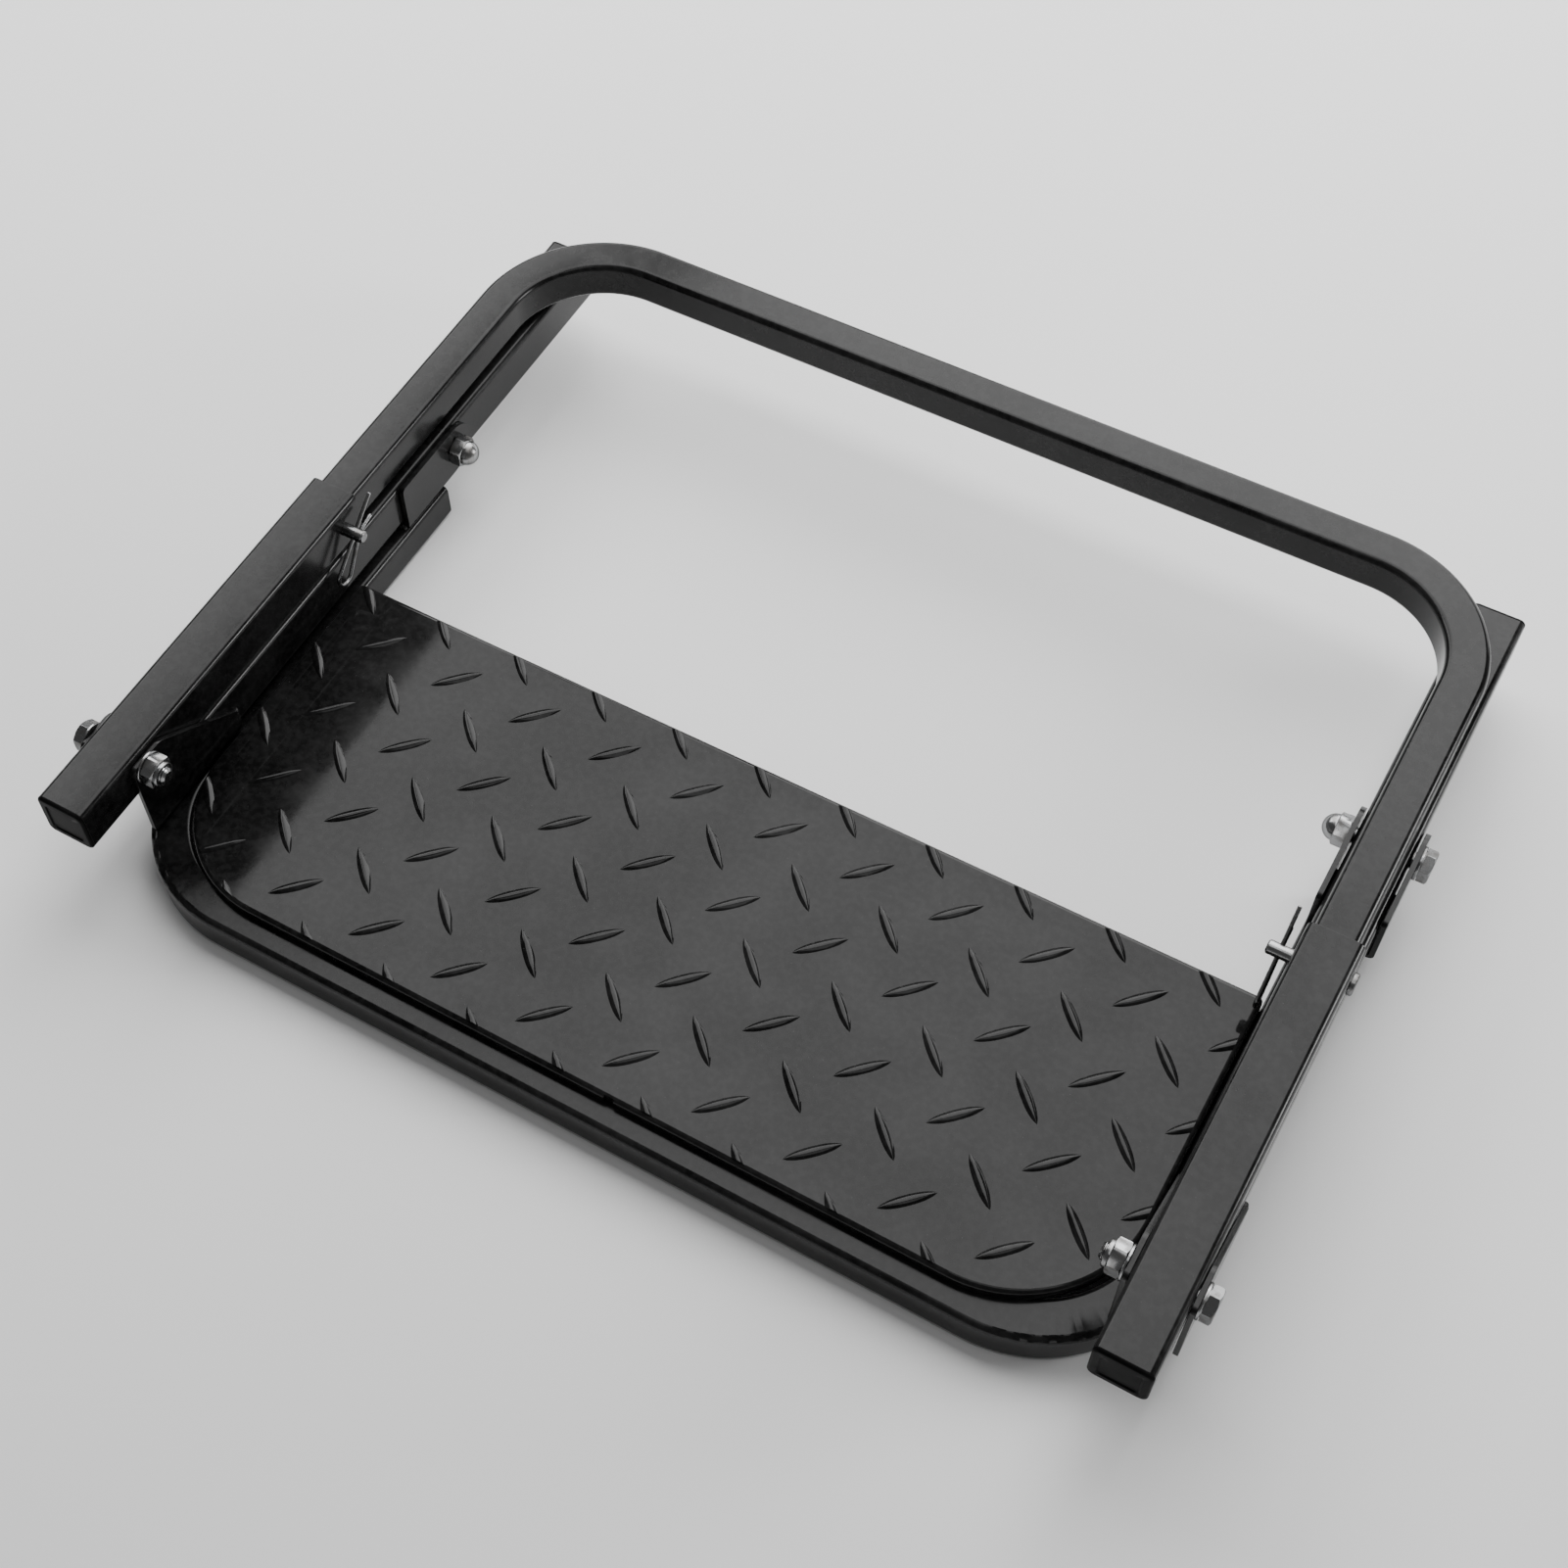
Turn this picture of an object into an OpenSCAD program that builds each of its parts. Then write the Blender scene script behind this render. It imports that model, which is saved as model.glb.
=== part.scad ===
// Folding tire step: a tread plate in a bent tube rim, two legs, two arm sleeves and a sliding hook.
// It is drawn folded flat. X runs across the step, Y from its front edge to its far end, Z up.
// Z = 0 is the floor under the rim, and the origin is the middle of the folded footprint.

/* [Frame] */
// Width over the outer faces of the legs
frame_width = 664; // [600:2:760]
// Distance between the step hinge and the arm hinge
hinge_span = 305.5; // [290:0.5:360]
// Length of a leg past the step hinge
leg_foot = 174; // [130:1:240]
// Wall of the leg tube
leg_wall = 2; // [1.5:0.25:3]
// Gap between two faces that stop against each other
stop_gap = 0.5; // [0.3:0.1:1]

/* [Rim] */
// Side of the square rim tube
rim_tube = 25; // [22:1:28]
// Wall of the rim tube
rim_wall = 2; // [1.5:0.25:3]
// Outside radius of the rim's bends
rim_bend = 85; // [70:1:100]
// How far the rim's sides lie inside the legs' outer faces
rim_inset = 12; // [11:0.5:13]
// Distance from the step hinge to the rim's front face
step_reach = 350.5; // [340:0.5:370]

/* [Tread] */
// Depth of the tread plate, front to back
tread_depth = 225; // [190:1:235]
// How far the tread plate stands behind the rim's front face
tread_stand = 14.5; // [6:0.5:18]
// Radius of the tread plate's front corners
tread_corner = 77.5; // [70:0.5:90]
// Thickness of the tread sheet
tread_sheet = 3; // [2:0.5:4]
// Height of the tread above the rim
tread_lip = 8; // [6:0.5:12]
// Height of the side and rear flanges
tread_flange = 20; // [14:1:26]
// Pitch of the raised bars
bar_pitch = 55; // [45:1:70]
// Length of a raised bar
bar_len = 33; // [25:1:38]
// Width of a raised bar at its middle
bar_width = 6.5; // [4:0.5:9]
// Height of a raised bar
bar_rise = 1.2; // [0.8:0.2:1.6]
// Side of the cross tube under the tread's rear edge
cross_tube = 20; // [14:1:22]
// Wall of the cross tube
cross_wall = 1.5; // [1.5:0.25:2.5]

/* [Arms and hook] */
// Side of the square hook tube
hook_tube = 25; // [22:0.5:26]
// Wall of the hook tube
hook_wall = 2; // [1.5:0.25:3]
// Clearance between the hook tube and the inside of the sleeve
hook_clearance = 0.5; // [0.3:0.1:0.8]
// Outside radius of the hook's bends
hook_bend = 85; // [70:1:100]
// Length of the hook tube inside the sleeve
hook_grip = 118; // [112:1:130]
// How far the hook slides out
hook_travel = 80; // [40:5:80]
// Wall of the sleeve
sleeve_wall = 2.75; // [2:0.25:3.5]
// Length of a sleeve with its end cap
sleeve_len = 264; // [250:1:300]
// Length of a sleeve in front of the arm hinge
arm_tail = 52; // [40:0.5:52]
// Height of the arm hinge above the sleeve's underside
arm_drop = 19; // [17:0.5:20]
// Gap between a sleeve and each plate beside it
arm_side_gap = 0.25; // [0.2:0.05:0.5]

/* [Brackets] */
// Thickness of the hinge plates
plate_t = 3; // [2:0.5:4]
// Gap between a leg and each ear beside it
ear_gap = 1; // [0.5:0.1:1]
// Length of the step bracket in front of the step hinge
ear_len = 57; // [50:1:70]
// Radius of the ear about the step hinge
ear_round = 16.5; // [15:0.5:18]
// Length of the arm plate in front of the arm hinge
arm_plate_nose = 11; // [11:0.5:14]
// Length of the arm plate behind the arm hinge
arm_plate_len = 72.5; // [60:0.5:90]
// How far the arm plate's top stays below the sleeve's top
arm_plate_drop = 5; // [3:0.5:7]

/* [Fasteners] */
// Hinge bolt diameter
bolt_d = 10; // [8:1:10]
// Radial running clearance of the bolts and lock pins
bolt_play = 0.05; // [0.02:0.01:0.1]
// Washer thickness
washer_t = 1.5; // [1:0.1:2]
// Lock pin diameter
pin_d = 8; // [6:1:10]
// Distance from the sleeve's far end to the lock pin
pin_inset = 15; // [12:1:20]
// Wire diameter of the lock pin's clip
clip_wire = 2.4; // [1.6:0.2:2.8]
// Length of the clip's straight leg past the pin
clip_leg = 26; // [20:1:30]
// Lean of the clip from level
clip_lean = 41; // [30:1:50]

/* [Hidden] */
$fn = 64;

// Outside corner radius of the square tubes, and the least radius inside one
tube_round = 4;
tube_round_min = 0.5;

// End caps
cap_t = 2;
cap_plug = 12;
cap_play = 0.15;
cap_chamfer = 1.8;
plug_inset = 0.5;

// The sleeve fits over the hook tube, and the leg is as wide as the sleeve with its side gaps
arm_tube = hook_tube + 2 * hook_clearance + 2 * sleeve_wall;
leg_tube = arm_tube + 2 * arm_side_gap;

// Places along Y
fold_len = leg_foot + hinge_span + arm_tail;
far_y = fold_len / 2;
near_y = -fold_len / 2;
step_hinge_y = far_y - leg_foot;
arm_hinge_y = near_y + arm_tail;
leg_near_y = arm_hinge_y + arm_drop + stop_gap;
rim_front_y = step_hinge_y - step_reach;
rim_end_y = step_hinge_y - leg_tube / 2 - stop_gap;
tread_front_y = rim_front_y + tread_stand;
tread_rear_y = tread_front_y + tread_depth;
ear_near_y = step_hinge_y - ear_len;
arm_plate_near_y = arm_hinge_y - arm_plate_nose;
arm_plate_far_y = arm_hinge_y + arm_plate_len;
sleeve_far_y = near_y + sleeve_len;
lock_y = sleeve_far_y - pin_inset;
hook_leg_y = sleeve_far_y - hook_grip;

// Places along Z
tread_top = rim_tube + tread_lip;
leg_base = rim_tube + plate_t + ear_gap;
step_hinge_z = leg_base + leg_tube / 2;
arm_base = leg_base + leg_tube + stop_gap;
arm_mid_z = arm_base + arm_tube / 2;
arm_hinge_z = arm_base + arm_drop;
arm_plate_top = arm_base + arm_tube - arm_plate_drop;

// Places along X, on the right
leg_x = frame_width / 2 - leg_tube / 2;
leg_in = leg_x - leg_tube / 2;
leg_out = leg_x + leg_tube / 2;
rim_out = leg_out - rim_inset;
rim_in = rim_out - rim_tube;
ear_in = leg_in - ear_gap - plate_t;
ear_out = leg_out + ear_gap + plate_t;
plate_in = leg_in - plate_t;
plate_out = leg_out + plate_t;

// Hexagons, nuts and washers follow the bolt
hex_across = 1.7 * bolt_d;
hex_head_h = 0.64 * bolt_d;
nut_h = 0.8 * bolt_d;
nut_collar_h = 0.25 * bolt_d;
nut_collar_d = 1.5 * bolt_d;
cap_nut_dome = 0.78 * bolt_d;
cap_nut_h = 1.55 * bolt_d;
cap_nut_wall = 0.25 * bolt_d;
washer_d = 2 * bolt_d;
bolt_hole = bolt_d + 2 * bolt_play;
bolt_tip = 0.25 * bolt_d;

// The lock pin and its clip
pin_hole = pin_d + 2 * bolt_play;
pin_head_d = 1.6 * pin_d;
pin_head_t = 3;
pin_reach = 14;
pin_tip = 1;
pin_seat = 0.25;
slot_width = pin_d + 0.6;
clip_back = 7;
clip_loop = 6.2;
clip_hole = clip_wire + 0.3;
clip_bow = pin_d / 2 + clip_wire / 2 + 0.2;
clip_press_r = 10;
clip_rise = 16;
clip_fall = 28;
clip_tail = 9;

// The raised bars start from the tread's middle and its rear edge
bar_shift = -10;
bar_rear = 61;
bar_sink = 0.5;
bar_margin = 1.5;

// A notch in the front lip
notch_x = 19;
notch_w = 6;
notch_depth = 1.5;

steel_black = [0.08, 0.08, 0.085];
steel_zinc = [0.78, 0.78, 0.8];
plastic_black = [0.04, 0.04, 0.04];

// The place where a line from a point touches a circle, on the side that turns away from it
function touch_point(p, c, r) =
    let (d = norm(c - p), turn = atan2(c[1] - p[1], c[0] - p[0]) - asin(r / d), run = sqrt(d * d - r * r))
    p + run * [cos(turn), sin(turn)];

// A square with round corners, centred
module rounded_square(side, r) {
    square([side - 2 * r, side], center = true);
    square([side, side - 2 * r], center = true);
    for (sx = [-1, 1], sy = [-1, 1])
        translate([sx * (side / 2 - r), sy * (side / 2 - r)]) circle(r);
}

module tube_section(side, wall) {
    difference() {
        rounded_square(side, tube_round);
        rounded_square(side - 2 * wall, max(tube_round - wall, tube_round_min));
    }
}

// A square tube along Y, its axis at x, z
module tube_y(side, wall, x, z, y0, y1) {
    translate([x, y1, z]) rotate([90, 0, 0]) linear_extrude(y1 - y0) tube_section(side, wall);
}

// A square tube along X, its axis at y, z
module tube_x(side, wall, y, z, half) {
    translate([-half, y, z]) rotate([90, 0, 90]) linear_extrude(2 * half) tube_section(side, wall);
}

// A quarter bend of a square tube about x, y
module tube_bend(side, wall, x, y, z, bend, start) {
    translate([x, y, z]) rotate([0, 0, start])
        rotate_extrude(angle = 90) translate([bend - side / 2, 0]) tube_section(side, wall);
}

// A rod along X between two places
module rod_x(d, x0, x1, y, z) {
    translate([min(x0, x1), y, z]) rotate([0, 90, 0]) cylinder(d = d, h = abs(x1 - x0));
}

// A hexagonal bar along X, given the width across its flats
module hex_x(across, x0, x1, y, z) {
    translate([min(x0, x1), y, z]) rotate([0, 90, 0])
        cylinder(d = across / cos(30), h = abs(x1 - x0), $fn = 6);
}

// A plate in the YZ plane between two places along X
module plate_yz(x0, x1) {
    translate([min(x0, x1), 0, 0]) rotate([90, 0, 90]) linear_extrude(abs(x1 - x0)) children();
}

// A hex bolt along X, its head on the outer side
module hex_bolt(s, x_seat, x_end, y, z) {
    rod_x(bolt_d, s * x_end, s * x_seat, y, z);
    hex_x(hex_across, s * x_seat, s * (x_seat + hex_head_h), y, z);
}

module washer(s, x0, x1, y, z) {
    difference() {
        rod_x(washer_d, s * x0, s * x1, y, z);
        rod_x(bolt_hole, s * (x0 - 1), s * (x1 + 1), y, z);
    }
}

// A plastic cap on the end of a square tube along Y, where y_end is the tube's end and dir the way it faces
module end_cap(side, wall, x, z, y_end, dir) {
    plug = side - 2 * wall - 2 * cap_play;
    cut = cap_chamfer * sqrt(2);
    translate([x, y_end + (dir > 0 ? cap_t : 0), z]) rotate([90, 0, 0]) difference() {
        linear_extrude(cap_t) rounded_square(side, tube_round);
        for (a = [0:90:270]) rotate([0, 0, a])
            translate([-side, side / 2, dir > 0 ? 0 : cap_t]) rotate([45, 0, 0])
                translate([0, -cut / 2, -cut / 2]) cube([2 * side, cut, cut]);
    }
    translate([x, y_end + (dir > 0 ? 0 : cap_plug), z]) rotate([90, 0, 0])
        linear_extrude(cap_plug) rounded_square(plug, max(tube_round - wall, tube_round_min));
}

// The tread's outline, drawn in by an inset, with round front corners
module tread_outline(inset) {
    mid_x = rim_in - tread_corner;
    mid_y = tread_front_y + tread_corner;
    translate([-mid_x, tread_front_y + inset]) square([2 * mid_x, tread_corner]);
    translate([inset - rim_in, mid_y]) square([2 * (rim_in - inset), tread_rear_y - inset - mid_y]);
    for (s = [-1, 1]) translate([s * mid_x, mid_y]) circle(tread_corner - inset);
}

// One raised bar: the lens where two circles meet
module raised_bar(angle) {
    r = (bar_len * bar_len + bar_width * bar_width) / (4 * bar_width);
    rotate([0, 0, angle]) intersection() {
        translate([0, r - bar_width / 2]) circle(r);
        translate([0, bar_width / 2 - r]) circle(r);
    }
}

// Bars on a square lattice, and bars that lie the other way in the middle of each four
module raised_bars() {
    across = ceil(rim_in / bar_pitch) + 1;
    deep = ceil(tread_depth / bar_pitch) + 1;
    for (i = [-across:across], j = [-deep:1])
        translate([bar_shift + i * bar_pitch, tread_rear_y - bar_rear + j * bar_pitch]) {
            raised_bar(-45);
            translate([bar_pitch / 2, bar_pitch / 2]) raised_bar(45);
        }
}

module deck_plate() {
    flange_z = tread_top - tread_flange;
    flange_y = tread_front_y + tread_corner;
    color(steel_black) {
        difference() {
            translate([0, 0, rim_tube]) linear_extrude(tread_lip) tread_outline(0);
            translate([0, 0, rim_tube - 1]) linear_extrude(tread_lip + 1 - tread_sheet) tread_outline(tread_sheet);
            translate([notch_x - notch_w / 2, tread_front_y - 1, rim_tube - 1])
                cube([notch_w, notch_depth + 1, tread_lip + 2]);
        }
        for (s = [-1, 1])
            translate([s * (rim_in - tread_sheet / 2) - tread_sheet / 2, flange_y, flange_z])
                cube([tread_sheet, tread_rear_y - flange_y, tread_flange - tread_sheet / 2]);
        translate([-rim_in, tread_rear_y - tread_sheet, flange_z])
            cube([2 * rim_in, tread_sheet, tread_flange - tread_sheet / 2]);
        translate([0, 0, tread_top - bar_sink]) linear_extrude(bar_rise + bar_sink) intersection() {
            tread_outline(bar_margin);
            raised_bars();
        }
    }
}

module deck_rim() {
    bend_x = rim_out - rim_bend;
    bend_y = rim_front_y + rim_bend;
    z = rim_tube / 2;
    color(steel_black) {
        tube_x(rim_tube, rim_wall, rim_front_y + rim_tube / 2, z, bend_x);
        for (s = [-1, 1]) {
            tube_bend(rim_tube, rim_wall, s * bend_x, bend_y, z, rim_bend, s > 0 ? 270 : 180);
            tube_y(rim_tube, rim_wall, s * (rim_out - rim_tube / 2), z, bend_y, rim_end_y);
        }
    }
}

// A tube between the tread's side flanges, behind its rear flange
module deck_cross_tube() {
    color(steel_black) tube_x(cross_tube, cross_wall, tread_rear_y - tread_sheet - cross_tube / 2,
        tread_top - tread_sheet - cross_tube / 2, rim_in - tread_sheet);
}

// A plastic plug set into the end of the rim's side
module rim_plug(s) {
    side = rim_tube - 2 * rim_wall - 2 * cap_play;
    color(plastic_black) translate([s * (rim_out - rim_tube / 2), rim_end_y - plug_inset, rim_tube / 2])
        rotate([90, 0, 0]) linear_extrude(cap_plug) rounded_square(side, max(tube_round - rim_wall, tube_round_min));
}

// An ear in the YZ plane: its foot lies on the rim, and its eye is round about the hinge
module ear_outline() {
    hinge = [step_hinge_y, step_hinge_z];
    toe = [step_hinge_y - leg_tube / 2 - stop_gap, rim_tube];
    touch = touch_point(toe, hinge, ear_round);
    top_z = step_hinge_z + ear_round;
    polygon([
        [ear_near_y, rim_tube], toe, touch, hinge,
        [step_hinge_y, top_z], [ear_near_y + plate_t, top_z], [ear_near_y, top_z - plate_t]
    ]);
    translate(hinge) circle(ear_round);
}

// A channel folded from plate: a base on the rim between two ears
module hinge_bracket(s) {
    base_far_y = step_hinge_y - leg_tube / 2 - 2 * stop_gap;
    color(steel_black) difference() {
        union() {
            plate_yz(s * ear_in, s * (ear_in + plate_t)) ear_outline();
            plate_yz(s * (ear_out - plate_t), s * ear_out) ear_outline();
            plate_yz(s * (ear_in + plate_t / 2), s * (ear_out - plate_t / 2))
                translate([ear_near_y, rim_tube]) square([base_far_y - ear_near_y, plate_t]);
        }
        rod_x(bolt_hole, s * (ear_in - 1), s * (ear_out + 1), step_hinge_y, step_hinge_z);
    }
}

module deck_bolt(s) {
    color(steel_zinc) hex_bolt(s, ear_out + washer_t, ear_in - nut_h, step_hinge_y, step_hinge_z);
}

module deck_washer(s) {
    color(steel_zinc) washer(s, ear_out, ear_out + washer_t, step_hinge_y, step_hinge_z);
}

// A domed nut closed over the end of the bolt
module deck_cap_nut(s) {
    color(steel_zinc) difference() {
        union() {
            hex_x(hex_across, s * (ear_in - nut_h), s * ear_in, step_hinge_y, step_hinge_z);
            translate([s * (ear_in - nut_h), step_hinge_y, step_hinge_z]) rotate([0, -s * 90, 0])
                rotate_extrude() intersection() {
                    translate([0, cap_nut_h - nut_h - cap_nut_dome]) circle(cap_nut_dome);
                    square([cap_nut_dome, cap_nut_h]);
                }
        }
        rod_x(bolt_hole, s * (ear_in - nut_h - cap_nut_wall), s * (ear_in + 1), step_hinge_y, step_hinge_z);
    }
}

module leg(s) {
    color(steel_black) difference() {
        tube_y(leg_tube, leg_wall, s * leg_x, step_hinge_z, leg_near_y + cap_t, far_y - cap_t);
        rod_x(bolt_hole, s * (leg_in - 1), s * (leg_out + 1), step_hinge_y, step_hinge_z);
    }
}

module leg_foot_cap(s) {
    color(plastic_black) end_cap(leg_tube, leg_wall, s * leg_x, step_hinge_z, far_y - cap_t, 1);
}

module leg_head_cap(s) {
    color(plastic_black) end_cap(leg_tube, leg_wall, s * leg_x, step_hinge_z, leg_near_y + cap_t, -1);
}

// A plate welded to the side of the leg, which rises beside the sleeve
module arm_plate(s, x0) {
    color(steel_black) difference() {
        plate_yz(s * x0, s * (x0 + plate_t)) polygon([
            [arm_plate_near_y, leg_base], [arm_plate_far_y, leg_base],
            [arm_plate_far_y, step_hinge_z], [arm_hinge_y + arm_plate_nose + plate_t, arm_plate_top],
            [arm_plate_near_y + plate_t, arm_plate_top], [arm_plate_near_y, arm_plate_top - plate_t]
        ]);
        rod_x(bolt_hole, s * (x0 - 1), s * (x0 + plate_t + 1), arm_hinge_y, arm_hinge_z);
    }
}

module arm_bolt(s) {
    color(steel_zinc) hex_bolt(s, plate_out + washer_t,
        plate_in - washer_t - nut_h - nut_collar_h - bolt_tip, arm_hinge_y, arm_hinge_z);
}

module arm_washers(s) {
    color(steel_zinc) {
        washer(s, plate_out, plate_out + washer_t, arm_hinge_y, arm_hinge_z);
        washer(s, plate_in - washer_t, plate_in, arm_hinge_y, arm_hinge_z);
    }
}

// A lock nut with a round collar
module arm_nut(s) {
    seat = plate_in - washer_t;
    color(steel_zinc) difference() {
        union() {
            hex_x(hex_across, s * (seat - nut_h), s * seat, arm_hinge_y, arm_hinge_z);
            rod_x(nut_collar_d, s * (seat - nut_h - nut_collar_h), s * seat, arm_hinge_y, arm_hinge_z);
        }
        rod_x(bolt_hole, s * (seat - nut_h - nut_collar_h - 1), s * (seat + 1), arm_hinge_y, arm_hinge_z);
    }
}

module sleeve(s) {
    color(steel_black) difference() {
        tube_y(arm_tube, sleeve_wall, s * leg_x, arm_mid_z, near_y + cap_t, sleeve_far_y);
        rod_x(bolt_hole, s * (leg_in - 1), s * (leg_out + 1), arm_hinge_y, arm_hinge_z);
        rod_x(pin_hole, s * (leg_in - 1), s * (leg_out + 1), lock_y, arm_mid_z);
    }
}

module sleeve_cap(s) {
    color(plastic_black) end_cap(arm_tube, sleeve_wall, s * leg_x, arm_mid_z, near_y + cap_t, -1);
}

// A headed pin through the sleeve and the hook tube
module lock_pin(s) {
    seat = leg_x + arm_tube / 2 + pin_seat;
    tip = leg_x - arm_tube / 2 - pin_reach;
    clip_x = tip + clip_back;
    color(steel_zinc) difference() {
        union() {
            rod_x(pin_d, s * (tip + pin_tip), s * seat, lock_y, arm_mid_z);
            rod_x(pin_d - 2 * pin_tip, s * tip, s * (tip + pin_tip), lock_y, arm_mid_z);
            rod_x(pin_head_d, s * seat, s * (seat + pin_head_t), lock_y, arm_mid_z);
        }
        translate([s * clip_x, lock_y, arm_mid_z]) rotate([clip_lean, 0, 0]) rotate([90, 0, 0])
            cylinder(d = clip_hole, h = 2 * pin_d, center = true);
    }
}

// Points along an arc in the YZ plane about c
function arc(c, r, from, to, steps) =
    [for (i = [0:steps]) let (a = from + (to - from) * i / steps) c + r * [cos(a), sin(a)]];

// The direction across a path at one of its points
function across(path, i) =
    let (t = path[min(i + 1, len(path) - 1)] - path[max(i - 1, 0)])
    [-t[1], t[0]] / norm(t);

// A round wire along a path in the YZ plane
module wire(path, d, sides) {
    last = len(path) - 1;
    points = [for (i = [0:last], k = [0:sides - 1])
        let (a = 360 * k / sides, n = across(path, i), p = path[i] + d / 2 * cos(a) * n)
        [d / 2 * sin(a), p[0], p[1]]];
    skin = [for (i = [0:last - 1], k = [0:sides - 1])
        let (m = (k + 1) % sides, row = i * sides)
        [row + k, row + m, row + sides + m, row + sides + k]];
    start_face = [for (k = [sides - 1:-1:0]) k];
    end_face = [for (k = [0:sides - 1]) last * sides + k];
    polyhedron(points, concat([start_face], skin, [end_face]), convexity = 4);
}

// A spring clip: a straight leg through the pin, a loop, and a leg that presses under the pin and flares
module r_clip(s) {
    clip_x = leg_x - arm_tube / 2 - pin_reach + clip_back;
    press = [0, -clip_bow - clip_press_r];
    press_in = press + clip_press_r * [-sin(clip_rise), cos(clip_rise)];
    press_out = press + clip_press_r * [sin(clip_fall), cos(clip_fall)];
    run = (press_in[1] + clip_loop * (1 + cos(clip_rise))) / sin(clip_rise);
    loop_out = press_in - run * [cos(clip_rise), sin(clip_rise)];
    loop = [loop_out[0] - clip_loop * sin(clip_rise), -clip_loop];
    path = concat(
        [[clip_leg, 0]],
        arc(loop, clip_loop, 90, 270 + clip_rise, 12),
        arc(press, clip_press_r, 90 + clip_rise, 90 - clip_fall, 4),
        [press_out + clip_tail * [cos(clip_fall), -sin(clip_fall)]]
    );
    color(steel_zinc) translate([s * clip_x, lock_y, arm_mid_z]) rotate([clip_lean, 0, 0])
        wire(path, clip_wire, 12);
}

// The hook: one tube bent twice, with a slot for the lock pin in each leg
module hook_frame() {
    bend_x = leg_x + hook_tube / 2 - hook_bend;
    bend_y = far_y - hook_bend;
    slot_y = lock_y - hook_travel;
    color(steel_black) difference() {
        union() {
            tube_x(hook_tube, hook_wall, far_y - hook_tube / 2, arm_mid_z, bend_x);
            for (s = [-1, 1]) {
                tube_bend(hook_tube, hook_wall, s * bend_x, bend_y, arm_mid_z, hook_bend, s > 0 ? 0 : 90);
                tube_y(hook_tube, hook_wall, s * leg_x, arm_mid_z, hook_leg_y, bend_y);
            }
        }
        for (s = [-1, 1]) {
            for (y = [slot_y, lock_y])
                rod_x(slot_width, s * (leg_in - 1), s * (leg_out + 1), y, arm_mid_z);
            translate([s * leg_x - leg_tube / 2, slot_y, arm_mid_z - slot_width / 2])
                cube([leg_tube, hook_travel, slot_width]);
        }
    }
}

deck_plate();
deck_rim();
deck_cross_tube();
rim_plug(-1);  // rim_plug_left
rim_plug(1);  // rim_plug_right
hinge_bracket(-1);  // hinge_bracket_left
hinge_bracket(1);  // hinge_bracket_right
deck_bolt(-1);  // deck_bolt_left
deck_bolt(1);  // deck_bolt_right
deck_washer(-1);  // deck_washer_left
deck_washer(1);  // deck_washer_right
deck_cap_nut(-1);  // deck_cap_nut_left
deck_cap_nut(1);  // deck_cap_nut_right
leg(-1);  // leg_left
leg(1);  // leg_right
leg_foot_cap(-1);  // leg_foot_cap_left
leg_foot_cap(1);  // leg_foot_cap_right
leg_head_cap(-1);  // leg_head_cap_left
leg_head_cap(1);  // leg_head_cap_right
arm_plate(-1, plate_in);  // arm_plate_left_inner
arm_plate(-1, leg_out);  // arm_plate_left_outer
arm_plate(1, plate_in);  // arm_plate_right_inner
arm_plate(1, leg_out);  // arm_plate_right_outer
arm_bolt(-1);  // arm_bolt_left
arm_bolt(1);  // arm_bolt_right
arm_washers(-1);  // arm_washers_left
arm_washers(1);  // arm_washers_right
arm_nut(-1);  // arm_nut_left
arm_nut(1);  // arm_nut_right
sleeve(-1);  // sleeve_left
sleeve(1);  // sleeve_right
sleeve_cap(-1);  // sleeve_cap_left
sleeve_cap(1);  // sleeve_cap_right
lock_pin(-1);  // lock_pin_left
lock_pin(1);  // lock_pin_right
r_clip(-1);  // r_clip_left
r_clip(1);  // r_clip_right
hook_frame();
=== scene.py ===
"""The dressed model of a folding tire step, folded flat.

A tread sheet stands in a bent tube rim, two legs lie on it, and two sleeves hold a sliding hook.
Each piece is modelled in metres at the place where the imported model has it, and rides on its body.
The sizes that a class of pieces holds are in millimetres.
"""

from __future__ import annotations

import logging
import math
from collections.abc import Callable, Iterator, Sequence
from contextlib import contextmanager
from dataclasses import dataclass
from enum import Enum
from typing import ClassVar

import bpy
from mathutils import Matrix, Quaternion, Vector

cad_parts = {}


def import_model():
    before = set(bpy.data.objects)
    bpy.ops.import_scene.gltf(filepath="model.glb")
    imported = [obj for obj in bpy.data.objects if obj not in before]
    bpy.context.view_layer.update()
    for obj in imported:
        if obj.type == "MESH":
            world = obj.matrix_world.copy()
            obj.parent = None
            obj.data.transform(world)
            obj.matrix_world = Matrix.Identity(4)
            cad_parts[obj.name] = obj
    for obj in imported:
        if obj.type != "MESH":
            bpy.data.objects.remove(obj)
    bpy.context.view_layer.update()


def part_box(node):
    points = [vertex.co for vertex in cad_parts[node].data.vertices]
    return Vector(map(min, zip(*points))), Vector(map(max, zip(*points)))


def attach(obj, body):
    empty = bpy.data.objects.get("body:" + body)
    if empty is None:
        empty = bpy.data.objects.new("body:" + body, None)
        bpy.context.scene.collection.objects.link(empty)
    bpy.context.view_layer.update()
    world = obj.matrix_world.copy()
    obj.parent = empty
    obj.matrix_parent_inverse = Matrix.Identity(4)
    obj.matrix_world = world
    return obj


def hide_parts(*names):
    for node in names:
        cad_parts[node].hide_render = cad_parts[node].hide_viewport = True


LOG = logging.getLogger("tire_step")
MM = 0.001
TOUCH = 0.00005
X_AXIS = Vector((1, 0, 0))
Y_AXIS = Vector((0, 1, 0))
Z_AXIS = Vector((0, 0, 1))
CORNER_STEPS = 6
BEND_STEPS = 36
WIRE_SIDES = 20
BORE_SIDES = 32
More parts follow.
